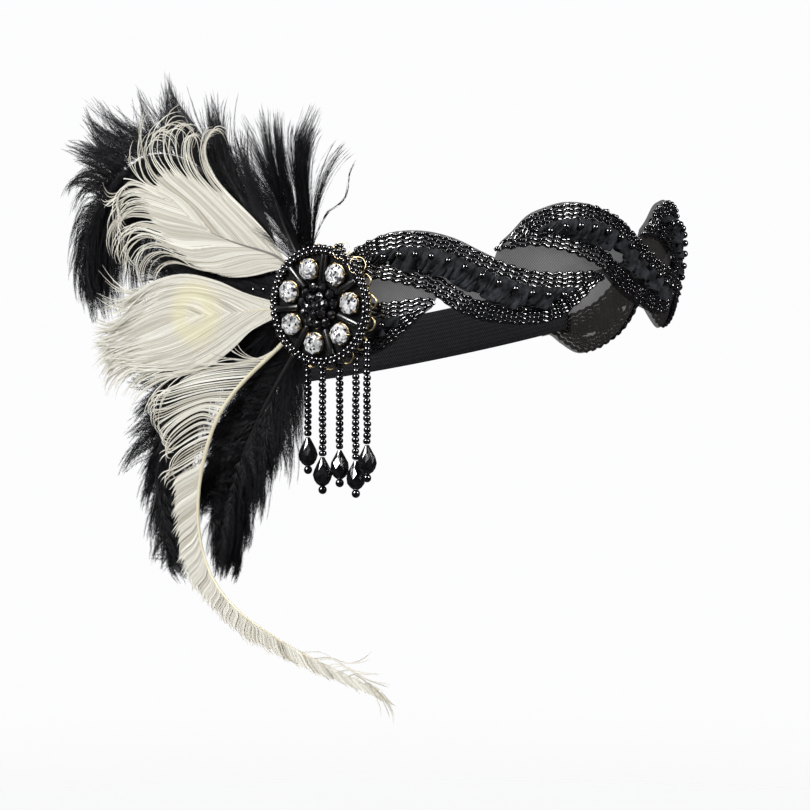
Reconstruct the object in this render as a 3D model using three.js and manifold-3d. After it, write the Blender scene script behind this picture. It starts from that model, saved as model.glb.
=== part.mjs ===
// A 1920s style headband: beaded leaves on sheer mesh, an elastic back, and at the side
// a stone medallion with bead strings and a fan of ostrich, eye and sword feathers.
//
// Millimetres, +Z up, the forehead towards -Y. The origin is the middle of the head loop.
// Band places are given as s, the length along the loop from the middle of the forehead
// (towards +X), h, the height above the loop, and w, the distance out from the head.

import * as THREE from 'three';
import { mergeVertices } from 'three/addons/utils/BufferGeometryUtils.js';
import Module from 'manifold-3d';

const wasm = await Module();
wasm.setup();

// Head loop
const loopWidth = 153;
const loopDepth = 194;
const loopPitchDeg = 12;
const loopRollDeg = 5;

// Beaded leaves on their mesh
const bandHeight = 38;
const leafLength = 93.4;
const leafPitch = 56;
const leafCount = 5;
const firstLeafStart = -138;
const cordWidth = 5.8;
const cordThickness = 2.2;
const ruffleWidth = 8;
const ruffleThickness = 3;
const petalLength = 4.6;
const meshThickness = 1;
const meshMargin = 0.8;

// Elastic strap
const strapWidth = 18;
const strapThickness = 1.2;
const strapOverlap = 14;

// Medallion
const medallionAngleDeg = -56;
const medallionStandoff = 6.1;
const basePlateThickness = 1.6;
const scallopCount = 16;
const scallopDepth = 0.9;
const shankRadius = 5;
const clusterRadius = 8;
const clusterBeadDiameter = 3.4;
const stoneCount = 7;
const stoneAngleDeg = 5;
const stoneDiameter = 6.6;
const stoneHeight = 3;
const cupWall = 0.35;
const cupHeight = 2.2;
const spokeDiameter = 2.2;
const rimBeadDiameter = 2;
const rimRowSpacing = 1.3;

// Bead strings and drops
const stringBeadDiameter = 2.55;
const stringBeadPitch = 1.85;
const stringNeckDiameter = 1.5;
const dropDiameter = 6.4;
const dropHeight = 9.5;
const endBeadDiameter = 2.8;

// Feathers
const fanTurnDeg = 10;
const fanStandoff = 6.4;
const rootRadius = 9;
const lowerRootLevel = 4.5;
const upperRootLevel = 5.5;
const rootThickness = 0.7;
const rootWidth = 1.1;
const lowerRimLift = 0.35;
const upperRimLift = 1.75;
const spreadDistance = 38;

// Each feather: its quill's length, its barbs' length and how far out its spread vane lies
const vaneThickness = 1.4;
const plumeBackLength = 140;
const plumeBackBarb = 27;
const plumeBackThickness = 14;
const plumeBackLift = -5;
const plumeTopLength = 44;
const plumeTopBarb = 31;
const plumeTopThickness = 6;
const plumeTopLift = 9.6;
const plumeSideLength = 128;
const plumeSideBarb = 20;
const plumeSideThickness = 10;
const plumeSideLift = -2.6;
const plumeLowLength = 98;
const plumeLowBarb = 21;
const plumeLowThickness = 10;
const plumeLowLift = -0.4;
const eyeFeatherUpperLength = 80;
const eyeFeatherUpperBarb = 27;
const eyeFeatherUpperLift = 5.4;
const eyeFeatherLowerLength = 88;
const eyeFeatherLowerBarb = 38;
const eyeFeatherLowerLift = 7.2;
const swordFeatherLength = 188;
const swordFeatherBarb = 24;
const swordFeatherLift = 9;

const clearance = 0.3;

const degrees = Math.PI / 180;
const { cos, sin, tan, abs, max, min, round, hypot, floor } = Math;
const mix = (from, to, share) => from + (to - from) * share;
const smooth = (share) => THREE.MathUtils.smoothstep(share, 0, 1);

// The head loop is an ellipse, tipped up at the forehead and down on the medallion's side.
const halfWidth = loopWidth / 2;
const halfDepth = loopDepth / 2;
const loopSteps = 720;
const loopHeight = (x, y) => x * tan(loopRollDeg * degrees) - y * tan(loopPitchDeg * degrees);

const arcLengths = [0];
for (let i = 1; i <= loopSteps; i += 1) {
  const angle = (i - 0.5) / loopSteps * 2 * Math.PI;
  const step = hypot(halfWidth * cos(angle), halfDepth * sin(angle)) * 2 * Math.PI / loopSteps;
  arcLengths.push(arcLengths[i - 1] + step);
}
const loopLength = arcLengths[loopSteps];

function loopAngle(s) {
  const wrapped = THREE.MathUtils.euclideanModulo(s, loopLength);
  let i = floor(wrapped / loopLength * loopSteps);
  while (arcLengths[i + 1] < wrapped) i += 1;
  while (arcLengths[i] > wrapped) i -= 1;
  const part = (wrapped - arcLengths[i]) / (arcLengths[i + 1] - arcLengths[i]);
  return (i + part) / loopSteps * 2 * Math.PI;
}

function loopNormal(angle) {
  return new THREE.Vector3(sin(angle) / halfWidth, -cos(angle) / halfDepth, 0).normalize();
}

function loopPoint(angle, h, w) {
  const x = halfWidth * sin(angle);
  const y = -halfDepth * cos(angle);
  return new THREE.Vector3(x, y, loopHeight(x, y) + h).addScaledVector(loopNormal(angle), w);
}

// Closed strips: an extruded section whose every point is then put in its place.
// The section runs across (x) and through (y) the strip, and z is the share of its length.
function strip(section, steps, place) {
  const outline = new THREE.Shape(section.map(([x, y]) => new THREE.Vector2(x, y)));
  const geometry = new THREE.ExtrudeGeometry(outline, { depth: 1, steps, bevelEnabled: false });
  const position = geometry.attributes.position;
  for (let i = 0; i < position.count; i += 1) {
    const point = place(position.getZ(i), position.getX(i), position.getY(i));
    position.setXYZ(i, point.x, point.y, point.z);
  }
  geometry.computeVertexNormals();
  return geometry;
}

const flatSection = [[0, 0], [1, 0], [1, 1], [0, 1]];
const cordSection = [[0, 0], [1, 0], [0.82, 1], [0.18, 1]];
const petalSection = [[0, 0], [1, 0], [0.75, 1], [0.1, 0.7]];

function bandStrip({ section, steps, from, to, low, high, back, front }) {
  return strip(section, steps, (share, across, outward) => {
    const s = mix(from, to, share);
    return loopPoint(loopAngle(s), mix(low(s), high(s), across), mix(back, front, outward));
  });
}

// One leaf of the band: the upper and lower edges, as shares of half the band's height.
const leafEdges = [
  // along, upper, lower
  [0, 0.41, 0.35],
  [0.05, 0.59, 0.335],
  [0.107, 0.84, 0.34],
  [0.16, 0.93, 0.295],
  [0.235, 0.99, 0.18],
  [0.31, 0.953, 0.02],
  [0.385, 0.85, -0.18],
  [0.47, 0.65, -0.547],
  [0.557, 0.36, -0.79],
  [0.642, 0.105, -0.916],
  [0.728, -0.08, -0.99],
  [0.814, -0.153, -0.958],
  [0.9, -0.19, -0.71],
  [0.964, -0.215, -0.46],
  [1, -0.305, -0.375],
];

// A smooth curve through the rows of a table, for one of its columns.
function through(rows, column, share) {
  const last = rows.length - 1;
  const i = min(max(rows.findIndex((row) => row[0] > share) - 1, 0), last - 1);
  const at = share >= rows[last][0] ? last - 1 : i;
  const slope = (k) => {
    const a = rows[max(k - 1, 0)];
    const b = rows[min(k + 1, last)];
    return (b[column] - a[column]) / (b[0] - a[0]);
  };
  const span = rows[at + 1][0] - rows[at][0];
  const t = min(max((share - rows[at][0]) / span, 0), 1);
  const near = (2 * t ** 3 - 3 * t ** 2 + 1) * rows[at][column];
  const far = (3 * t ** 2 - 2 * t ** 3) * rows[at + 1][column];
  const turn = (t ** 3 - 2 * t ** 2 + t) * slope(at) + (t ** 3 - t ** 2) * slope(at + 1);
  return near + far + turn * span;
}

const halfBand = bandHeight / 2;
const upperEdge = (share) => through(leafEdges, 1, share) * halfBand;
const lowerEdge = (share) => through(leafEdges, 2, share) * halfBand;
const middle = (share) => (upperEdge(share) + lowerEdge(share)) / 2;
const upperCordInside = (share) => max(upperEdge(share) - cordWidth, middle(share) + clearance / 2);
const lowerCordInside = (share) => min(lowerEdge(share) + cordWidth, middle(share) - clearance / 2);

const leafStarts = Array.from({ length: leafCount }, (_, i) => firstLeafStart + i * leafPitch);
const bandStart = firstLeafStart;
const bandEnd = leafStarts[leafCount - 1] + leafLength;
const cordBack = meshThickness + clearance;

const parts = new THREE.Group();
const medallion = new THREE.Group();

function finish(colour, roughness, metalness) {
  return new THREE.MeshStandardMaterial({ color: colour, roughness, metalness });
}

const finishes = {
  mesh: () => finish(0x2b2725, 0.8, 0),
  beads: () => finish(0x17171a, 0.3, 0.2),
  ribbon: () => finish(0x1b1c20, 0.75, 0),
  elastic: () => finish(0x141415, 0.85, 0),
  gold: () => finish(0xc9a75a, 0.3, 1),
  jet: () => finish(0x0c0c0e, 0.15, 0.1),
  crystal: () => finish(0xf2f4f7, 0.05, 0),
  blackFeather: () => finish(0x101012, 0.9, 0),
  creamFeather: () => finish(0xe6dfc6, 0.85, 0),
};

function add(group, name, geometry, material) {
  const mesh = new THREE.Mesh(geometry, material);
  mesh.name = name;
  group.add(mesh);
  return mesh;
}

// Sheer mesh, cut to the outline of all the leaves, with a tab at each end for the elastic.
function meshEdge(s, edge, pick, tab) {
  const reaches = leafStarts
    .map((start) => (s - start) / leafLength)
    .filter((share) => share >= 0 && share <= 1)
    .map(edge);
  const nearEnd = s < bandStart + leafLength / 2 || s > bandEnd - leafLength / 2;
  return pick(...reaches, ...(nearEnd ? [tab] : []));
}

const meshStepLength = 5;
add(parts, 'band_backing', bandStrip({
  section: flatSection,
  steps: round((bandEnd - bandStart) / meshStepLength),
  from: bandStart,
  to: bandEnd,
  low: (s) => meshEdge(s, lowerEdge, min, -strapWidth / 2) - meshMargin,
  high: (s) => meshEdge(s, upperEdge, max, strapWidth / 2) + meshMargin,
  back: 0,
  front: meshThickness,
}), finishes.mesh());

// Cords of beads along the upper and lower edge of each leaf, and its gathered ruffle.
// The cords' steps are closer together at the leaf's pointed ends.
const cordSteps = 18;
const endCrowding = 0.6;
const crowdEnds = (share) => mix(share, (1 - cos(Math.PI * share)) / 2, endCrowding);

function cord(start, low, high) {
  return strip(cordSection, cordSteps, (along, across, up) => {
    const share = crowdEnds(along);
    const h = mix(low(share), high(share), across);
    const w = mix(cordBack, cordBack + cordThickness, up);
    return loopPoint(loopAngle(start + share * leafLength), h, w);
  });
}

// The ruffle fills the stretch of the leaf where its cords leave room for a petal.
const petalNotch = 0.74;
const narrowestRuffle = petalLength / 2;
const reachSteps = 200;

function ruffleReach() {
  const shares = Array.from({ length: reachSteps + 1 }, (_, i) => i / reachSteps);
  const room = (share) => upperCordInside(share) - lowerCordInside(share) - 2 * clearance;
  const open = shares.filter((share) => room(share) > narrowestRuffle);
  return [open[0], open[open.length - 1]];
}

function ruffle(start) {
  const [from, to] = ruffleReach();
  const petals = round((to - from) * leafLength / petalLength);
  return strip(petalSection, petals * 2, (along, across, up) => {
    const share = mix(from, to, along);
    const petal = round(along * petals * 2) % 2 ? 1 : petalNotch;
    const high = upperCordInside(share) - clearance;
    const low = max(lowerCordInside(share) + clearance, high - ruffleWidth * petal);
    const w = cordBack + ruffleThickness * petal * up;
    return loopPoint(loopAngle(start + share * leafLength), mix(low, high, across), w);
  });
}

leafStarts.forEach((start, i) => {
  const leaf = i + 1;
  add(parts, `upper_cord_${leaf}`, cord(start, upperCordInside, upperEdge), finishes.beads());
  add(parts, `lower_cord_${leaf}`, cord(start, lowerEdge, lowerCordInside), finishes.beads());
  add(parts, `ruffle_${leaf}`, ruffle(start), finishes.ribbon());
});

// Elastic strap round the back of the head, under the mesh at both ends.
const strapStepLength = 8;
const strapFrom = bandEnd - strapOverlap;
const strapTo = bandStart + loopLength + strapOverlap;
add(parts, 'elastic_strap', bandStrip({
  section: flatSection,
  steps: round((strapTo - strapFrom) / strapStepLength),
  from: strapFrom,
  to: strapTo,
  low: () => -strapWidth / 2,
  high: () => strapWidth / 2,
  back: -clearance - strapThickness,
  front: -clearance,
}), finishes.elastic());

// Solids that are joined from overlapping shapes.
function toSolid(geometry) {
  const bare = geometry.clone();
  bare.deleteAttribute('normal');
  bare.deleteAttribute('uv');
  const welded = mergeVertices(bare, 1e-4);
  return new wasm.Manifold(new wasm.Mesh({
    numProp: 3,
    vertProperties: new Float32Array(welded.attributes.position.array),
    triVerts: new Uint32Array(welded.index.array),
  }));
}

function toGeometry(solid) {
  const { vertProperties, triVerts } = solid.getMesh();
  const geometry = new THREE.BufferGeometry();
  geometry.setAttribute('position', new THREE.BufferAttribute(new Float32Array(vertProperties), 3));
  geometry.setIndex(new THREE.BufferAttribute(new Uint32Array(triVerts), 1));
  geometry.computeVertexNormals();
  return geometry;
}

const join = (geometries) => toGeometry(geometries.map(toSolid).reduce((all, next) => all.add(next)));

// Sides of the round pieces, from a cut stone to the ring of beads round the plate.
const stoneSides = 8;
const beadSides = 10;
const roundSides = 12;
const ringSides = 24;

// A turned shape round +Z, from radius and height pairs that start and end on the axis.
function turned(profile, sides) {
  const points = profile.map(([radius, height]) => new THREE.Vector2(radius, height));
  return new THREE.LatheGeometry(points, sides).rotateX(Math.PI / 2).rotateZ(Math.PI / sides);
}

// The medallion's own frame: x to the front of the head, y up, z out from the head.
const medallionAngle = medallionAngleDeg * degrees;
const medallionOut = loopNormal(medallionAngle);
const up = new THREE.Vector3(0, 0, 1);
const medallionFront = new THREE.Vector3().crossVectors(up, medallionOut);
medallion.position.copy(loopPoint(medallionAngle, 0, 0));
medallion.quaternion.setFromRotationMatrix(
  new THREE.Matrix4().makeBasis(medallionFront, up, medallionOut),
);

const plateFront = medallionStandoff + basePlateThickness;
const seat = plateFront + clearance;
const cupInside = stoneDiameter / 2 + clearance;
const cupRadius = cupInside + cupWall;
const stoneRing = clusterRadius + clearance + cupRadius;
const rimInside = stoneRing + cupRadius + clearance;
const rimOutside = rimInside + rimRowSpacing + rimBeadDiameter;

// Gilt plate with a scalloped edge, and the sewn shank that stands it off the band.
function basePlate() {
  const outline = new THREE.Shape();
  const pointsPerScallop = 4;
  for (let i = 0; i < scallopCount * pointsPerScallop; i += 1) {
    const angle = i / (scallopCount * pointsPerScallop) * 2 * Math.PI;
    const bulge = abs(sin(angle * scallopCount / 2)) * scallopDepth;
    const reach = rimOutside + bulge;
    const move = i ? 'lineTo' : 'moveTo';
    outline[move](reach * cos(angle), reach * sin(angle));
  }
  const plate = new THREE.ExtrudeGeometry(outline, { depth: basePlateThickness, bevelEnabled: false });
  plate.translate(0, 0, medallionStandoff);
  const shankBack = cordBack + max(cordThickness, ruffleThickness) + clearance;
  const shankHeight = plateFront - shankBack;
  const shank = new THREE.CylinderGeometry(shankRadius, shankRadius, shankHeight, roundSides);
  shank.rotateX(Math.PI / 2).translate(0, 0, shankBack + shankHeight / 2);
  return join([plate, shank]);
}
add(medallion, 'medallion_plate', basePlate(), finishes.gold());

// Two rows of small beads round the edge, as one ribbed ring. The inner row stands higher.
function rimRing() {
  const bead = rimBeadDiameter;
  const profile = [
    [rimInside, 0.15 * bead],
    [rimInside + 0.5 * bead, 0],
    [rimOutside - 0.5 * bead, 0],
    [rimOutside, 0.45 * bead],
    [rimOutside - 0.4 * bead, 0.95 * bead],
    [(rimInside + rimOutside) / 2, 0.8 * bead],
    [rimInside + 0.4 * bead, 1.1 * bead],
  ];
  return turned([...profile, profile[0]], ringSides).translate(0, 0, seat);
}
add(medallion, 'rim_beads', rimRing(), finishes.jet());

// Raised middle: three tiers of faceted beads on a hub.
function cluster() {
  const radius = clusterBeadDiameter / 2;
  const tiers = [
    // beads, reach as a share of the way to the edge, height in bead radii
    [10, 1, 1],
    [6, 0.5, 1.84],
    [1, 0, 2.4],
  ];
  const hubRadius = clusterRadius - radius;
  const hub = turned([
    [0, 0],
    [hubRadius, 0],
    ...tiers.map(([, reach, height]) => [hubRadius * reach, radius * height]),
  ], roundSides);
  const beads = tiers.flatMap(([count, reach, height]) => Array.from({ length: count }, (_, i) => {
    const angle = (i + reach / 2) / count * 2 * Math.PI;
    const from = hubRadius * reach;
    const bead = new THREE.SphereGeometry(radius, beadSides, 4).rotateX(Math.PI / 2);
    return bead.translate(from * cos(angle), from * sin(angle), radius * height);
  }));
  return join([hub, ...beads]).translate(0, 0, seat);
}
add(medallion, 'centre_cluster', cluster(), finishes.jet());

// Round stones in gilt cups, and a bugle bead between each two of them.
const cupFloor = cupWall;

function cup() {
  return turned([
    [0, 0], [cupRadius, 0], [cupRadius, cupHeight],
    [cupInside, cupHeight], [cupInside, cupFloor], [0, cupFloor],
  ], stoneSides);
}

function stone() {
  const radius = stoneDiameter / 2;
  return turned([
    [0, 0], [0.5 * radius, 0], [radius, 0.58 * stoneHeight],
    [0.58 * radius, stoneHeight], [0, stoneHeight],
  ], stoneSides);
}

function spoke() {
  const from = clusterRadius + clearance;
  const to = rimInside - clearance;
  const bead = new THREE.CylinderGeometry(spokeDiameter / 2, spokeDiameter / 2, to - from, beadSides);
  return bead.rotateZ(Math.PI / 2).translate((from + to) / 2, 0, seat + spokeDiameter / 2);
}

for (let i = 0; i < stoneCount; i += 1) {
  const angle = stoneAngleDeg * degrees + i / stoneCount * 2 * Math.PI;
  const place = [stoneRing * cos(angle), stoneRing * sin(angle), seat];
  add(medallion, `stone_cup_${i + 1}`, cup(), finishes.gold()).position.set(...place);
  const gem = add(medallion, `stone_${i + 1}`, stone(), finishes.crystal());
  gem.position.set(place[0], place[1], seat + cupFloor + clearance);
  const bugle = add(medallion, `bugle_bead_${i + 1}`, spoke(), finishes.jet());
  bugle.rotation.z = angle + Math.PI / stoneCount;
}

// Bead strings that hang straight down from the lower rim, each with a cut drop.
const hangingStrings = [
  // place on the rim in degrees, beads, distance out from the middle of the plate
  [-108, 12, 0],
  [-89, 15, 1],
  [-72, 14, -0.4],
  [-53, 17, -1.2],
  [-24, 17, 1.4],
];

function beadString(beads) {
  const neck = stringNeckDiameter / 2;
  const radius = stringBeadDiameter / 2;
  const profile = [[0, 0], [neck, 0]];
  for (let i = 0; i < beads; i += 1) {
    profile.push([radius, -(i + 0.5) * stringBeadPitch]);
    profile.push([neck, -(i + 1) * stringBeadPitch]);
  }
  profile.push([0, -beads * stringBeadPitch]);
  return turned(profile.reverse(), beadSides);
}

function drop() {
  const radius = dropDiameter / 2;
  const bead = endBeadDiameter / 2;
  const beadTop = -dropHeight + 0.2 * bead;
  return turned([
    [0, 0], [0.22 * radius, 0], [0.6 * radius, -0.28 * dropHeight], [radius, -0.6 * dropHeight],
    [0.72 * radius, -0.84 * dropHeight], [0.3 * bead, beadTop],
    [bead, beadTop - bead], [0.3 * bead, beadTop - 2 * bead], [0, beadTop - 2 * bead],
  ].reverse(), beadSides);
}

const plateMiddle = medallionStandoff + basePlateThickness / 2;
hangingStrings.forEach(([rimDeg, beads, out], i) => {
  const x = rimOutside * cos(rimDeg * degrees);
  const reach = rimOutside + scallopDepth + clearance;
  const top = -Math.sqrt(reach ** 2 - max(abs(x) - stringBeadDiameter / 2, 0) ** 2);
  const threads = add(parts, `bead_string_${i + 1}`, beadString(beads), finishes.jet());
  const pendant = add(parts, `drop_${i + 1}`, drop(), finishes.jet());
  const base = medallion.position.clone();
  base.addScaledVector(medallionFront, x).addScaledVector(medallionOut, plateMiddle + out);
  threads.position.copy(base).addScaledVector(up, top);
  pendant.position.copy(base).addScaledVector(up, top - beads * stringBeadPitch - clearance);
});

// The feathers' fan: a plane through the medallion, turned in a little to follow the head.
// u runs back from the medallion, v up, and lift out from the head.
const fanBack = medallionFront.clone().negate().applyAxisAngle(up, -fanTurnDeg * degrees);
const fanOut = medallionOut.clone().applyAxisAngle(up, -fanTurnDeg * degrees);
const fanOrigin = medallion.position.clone().addScaledVector(medallionOut, fanStandoff);

function fanPoint(u, v, lift) {
  const point = fanOrigin.clone().addScaledVector(fanBack, u).addScaledVector(up, v);
  return point.addScaledVector(fanOut, lift);
}

// Behind the plate a quill keeps to its root level, and the fan turns in under it.
function quillLift(u, { rootLevel, rimLift }) {
  return min(rootLevel - fanStandoff + u * sin(fanTurnDeg * degrees), rimLift);
}

// Two tiers of quill ends lie behind the plate, the upper one against its back.
const lowerTier = { rootLevel: lowerRootLevel, rimLift: lowerRimLift };
const upperTier = { rootLevel: upperRootLevel, rimLift: upperRimLift };

// Each feather: the quill's root angle behind the plate, the barbs' sweep, both in degrees,
// and rows down the quill for its heading and the share of the barbs that reaches each way.
const feathers = [
  {
    name: 'plume_back',
    root: 32,
    length: plumeBackLength,
    barb: plumeBackBarb,
    thickness: plumeBackThickness,
    lift: plumeBackLift,
    sweep: 28,
    colour: finishes.blackFeather,
    tier: lowerTier,
    rows: [
      // along, heading in degrees, reach above, reach below
      [0, 27, 0, 0],
      [0.12, 36, 0.12, 0.12],
      [0.22, 41, 0.25, 0.36],
      [0.4, 31, 0.56, 0.66],
      [0.55, 16, 0.74, 0.76],
      [0.68, -14, 0.76, 0.76],
      [0.8, -48, 0.7, 0.74],
      [0.9, -74, 0.6, 0.66],
      [1, -86, 0.25, 0.3],
    ],
  },
  {
    name: 'plume_top',
    root: 62,
    length: plumeTopLength,
    barb: plumeTopBarb,
    thickness: plumeTopThickness,
    lift: plumeTopLift,
    sweep: 36,
    colour: finishes.blackFeather,
    tier: upperTier,
    rows: [
      // along, heading in degrees, reach above, reach below
      [0, 38, 0, 0],
      [0.22, 58, 0.07, 0.12],
      [0.42, 70, 0.18, 0.3],
      [0.65, 84, 0.42, 0.6],
      [0.85, 100, 0.6, 0.95],
      [1, 108, 0.45, 0.9],
    ],
  },
  {
    name: 'plume_side',
    root: -12,
    length: plumeSideLength,
    barb: plumeSideBarb,
    thickness: plumeSideThickness,
    lift: plumeSideLift,
    sweep: 30,
    colour: finishes.blackFeather,
    tier: lowerTier,
    rows: [
      // along, heading in degrees, reach above, reach below
      [0, -8, 0, 0],
      [0.13, -15, 0.12, 0.1],
      [0.35, -27, 0.8, 0.5],
      [0.57, -54, 0.95, 0.6],
      [0.77, -89, 0.85, 0.62],
      [0.92, -112, 0.6, 0.55],
      [1, -118, 0.15, 0.15],
    ],
  },
  {
    name: 'plume_low',
    root: -52,
    length: plumeLowLength,
    barb: plumeLowBarb,
    thickness: plumeLowThickness,
    lift: plumeLowLift,
    sweep: 30,
    colour: finishes.blackFeather,
    tier: lowerTier,
    rows: [
      // along, heading in degrees, reach above, reach below
      [0, -49, 0, 0],
      [0.12, -50, 0.12, 0.2],
      [0.34, -53, 0.55, 0.94],
      [0.6, -64, 0.66, 0.84],
      [0.82, -86, 0.6, 0.62],
      [1, -96, 0.12, 0.12],
    ],
  },
  {
    name: 'eye_feather_upper',
    root: 20,
    length: eyeFeatherUpperLength,
    barb: eyeFeatherUpperBarb,
    thickness: vaneThickness,
    lift: eyeFeatherUpperLift,
    sweep: 35,
    colour: finishes.creamFeather,
    tier: upperTier,
    rows: [
      // along, heading in degrees, reach above, reach below
      [0, 30, 0, 0],
      [0.16, 22, 0.1, 0.16],
      [0.4, 18, 0.5, 0.44],
      [0.6, 22, 0.8, 0.68],
      [0.82, 30, 0.86, 0.9],
      [1, 34, 0.6, 0.55],
    ],
  },
  {
    name: 'eye_feather_lower',
    root: -4,
    length: eyeFeatherLowerLength,
    barb: eyeFeatherLowerBarb,
    thickness: vaneThickness,
    lift: eyeFeatherLowerLift,
    sweep: 38,
    colour: finishes.creamFeather,
    tier: upperTier,
    rows: [
      // along, heading in degrees, reach above, reach below
      [0, -4, 0, 0],
      [0.16, -6, 0.05, 0.08],
      [0.38, -5, 0.24, 0.34],
      [0.6, -3, 0.34, 0.78],
      [0.83, -5, 0.3, 0.95],
      [1, -9, 0.2, 0.6],
    ],
  },
  {
    name: 'sword_feather',
    root: -34,
    length: swordFeatherLength,
    barb: swordFeatherBarb,
    thickness: vaneThickness,
    lift: swordFeatherLift,
    sweep: 45,
    colour: finishes.creamFeather,
    tier: upperTier,
    rows: [
      // along, heading in degrees, reach above, reach below
      [0, -38, 0, 0],
      [0.08, -37, 0.1, 0],
      [0.14, -39, 0.62, 0],
      [0.23, -49, 0.95, 0],
      [0.36, -71, 0.66, 0],
      [0.47, -97, 0.5, 0],
      [0.53, -117, 0.44, 0],
      [0.6, -136, 0.4, 0],
      [0.67, -152, 0.35, 0],
      [0.8, -160, 0.24, 0],
      [1, -162, 0.02, 0],
    ],
  },
];

// A vane is thickest along its quill, is notched into locks at its edges and thins to its tip.
const vaneSection = [[-1, 0], [-0.4, -1], [0.4, -1], [1, 0], [0.4, 1], [-0.4, 1]];
const vaneSteps = 22;
const lockNotch = 0.78;
const taperFrom = 0.7;
const tipThickness = 0.5;
const plateReach = rimOutside + scallopDepth + clearance;

function feather({ root, length, barb, thickness, lift, sweep, rows, tier }) {
  const quill = [{ u: rootRadius * cos(root * degrees), v: rootRadius * sin(root * degrees) }];
  for (let i = 1; i <= vaneSteps; i += 1) {
    const heading = through(rows, 1, (i - 0.5) / vaneSteps) * degrees;
    const before = quill[i - 1];
    const step = length / vaneSteps;
    quill.push({ u: before.u + step * cos(heading), v: before.v + step * sin(heading) });
  }
  return strip(vaneSection, vaneSteps, (along, across, out) => {
    const i = round(along * vaneSteps);
    const heading = through(rows, 1, along) * degrees;
    const column = across < 0 ? 2 : 3;
    const tooth = abs(across) === 1 && i % 2 ? lockNotch : 1;
    const reach = (rootWidth + max(through(rows, column, along), 0) * barb * tooth) * abs(across);
    const side = reach * cos(sweep * degrees) * Math.sign(across);
    const ahead = reach * sin(sweep * degrees);
    const u = quill[i].u + ahead * cos(heading) + side * sin(heading);
    const v = quill[i].v + ahead * sin(heading) - side * cos(heading);
    const spread = smooth((hypot(quill[i].u, quill[i].v) - plateReach) / spreadDistance);
    const centre = mix(quillLift(quill[i].u, tier), lift, spread);
    const taper = mix(1, tipThickness, smooth((along - taperFrom) / (1 - taperFrom)));
    const depth = mix(rootThickness, thickness, spread * taper);
    return fanPoint(u, v, centre + out * depth / 2);
  });
}

feathers.forEach((spec) => {
  add(parts, spec.name, feather(spec), spec.colour());
});

parts.add(medallion);

export default parts;
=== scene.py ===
# A flapper feather headband: beaded leaves on sheer net, an elastic back, and at the side a
# stone medallion with bead strings and a fan of ostrich plumes, eye feathers and one sword feather.

import bisect
import math
import random

import bmesh
import bpy
import numpy
from mathutils import Matrix, Vector


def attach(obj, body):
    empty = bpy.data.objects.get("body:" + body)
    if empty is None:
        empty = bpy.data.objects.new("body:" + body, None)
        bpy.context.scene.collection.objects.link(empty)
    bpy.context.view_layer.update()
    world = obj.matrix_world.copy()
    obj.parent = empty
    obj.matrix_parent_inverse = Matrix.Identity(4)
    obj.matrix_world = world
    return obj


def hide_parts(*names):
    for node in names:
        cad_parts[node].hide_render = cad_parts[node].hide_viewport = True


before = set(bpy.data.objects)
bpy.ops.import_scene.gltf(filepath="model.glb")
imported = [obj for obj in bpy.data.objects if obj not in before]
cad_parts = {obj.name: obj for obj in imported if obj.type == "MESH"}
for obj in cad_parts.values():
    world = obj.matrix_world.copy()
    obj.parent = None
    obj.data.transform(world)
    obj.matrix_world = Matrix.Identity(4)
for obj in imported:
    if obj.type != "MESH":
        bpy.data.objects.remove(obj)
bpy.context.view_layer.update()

# Camera
# It looks at the medallion's side of the band, almost level, through a long lens.
mm = 0.001
view_turn = -28
view_rise = 4
view_distance = 1300 * mm
view_left = 8 * mm
view_below = 32 * mm
picture_side = 810
focal_pixels = 3770


def heading(turn, rise):
    """The way out from the part, turned round it from the front and raised, in degrees."""
    turn = math.radians(turn)
    rise = math.radians(rise)
    level = math.cos(rise)
    return Vector((math.sin(turn) * level, -math.cos(turn) * level, math.sin(rise)))


view_back = heading(view_turn, view_rise)
view_right = heading(view_turn + 90, 0)
view_up = view_back.cross(view_right)
lens = bpy.data.cameras.new("camera")
lens.sensor_width = 36
lens.lens = focal_pixels / picture_side * lens.sensor_width
lens.clip_start = 0.05
camera = bpy.data.objects.new("camera", lens)
bpy.context.scene.collection.objects.link(camera)
camera.location = view_back * view_distance - view_right * view_left - view_up * view_below
camera.rotation_euler = Matrix((view_right, view_up, view_back)).transposed().to_euler()
bpy.context.scene.camera = camera
bpy.context.scene.view_settings.view_transform = "Standard"

# Studio
# Two windows in front, each with a small glint lamp, make the pair of points on every bead. A
# wide one above and one behind fill in, and the pale floor fades into the pale room.
room = bpy.data.worlds.new("pale_room")
bpy.context.scene.world = room
room.use_nodes = True
room_light = room.node_tree.nodes["Background"]
room_light.inputs["Color"].default_value = (0.98, 0.98, 0.99, 1)
ray = room.node_tree.nodes.new("ShaderNodeLightPath")
unseen = room.node_tree.nodes.new("ShaderNodeMapRange")
unseen.inputs["To Min"].default_value = 0.34
unseen.inputs["To Max"].default_value = 0.03
room.node_tree.links.new(ray.outputs["Is Glossy Ray"], unseen.inputs["Value"])
seen = room.node_tree.nodes.new("ShaderNodeMapRange")
seen.inputs["To Max"].default_value = 1
room.node_tree.links.new(unseen.outputs["Result"], seen.inputs["To Min"])
room.node_tree.links.new(ray.outputs["Is Camera Ray"], seen.inputs["Value"])
room.node_tree.links.new(seen.outputs["Result"], room_light.inputs["Strength"])


def window(name, turn, rise, distance, side, power, soft=True, shiny=True):
    light = bpy.data.lights.new(name, "AREA")
    light.shape = "RECTANGLE"
    light.size = side
    light.size_y = side * 1.4
    light.energy = power
    lamp = bpy.data.objects.new(name, light)
    bpy.context.scene.collection.objects.link(lamp)
    lamp.visible_diffuse = soft
    lamp.visible_glossy = shiny
    away = heading(turn, rise)
    lamp.location = away * distance
    lamp.rotation_euler = away.to_track_quat("Z", "Y").to_euler()


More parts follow.
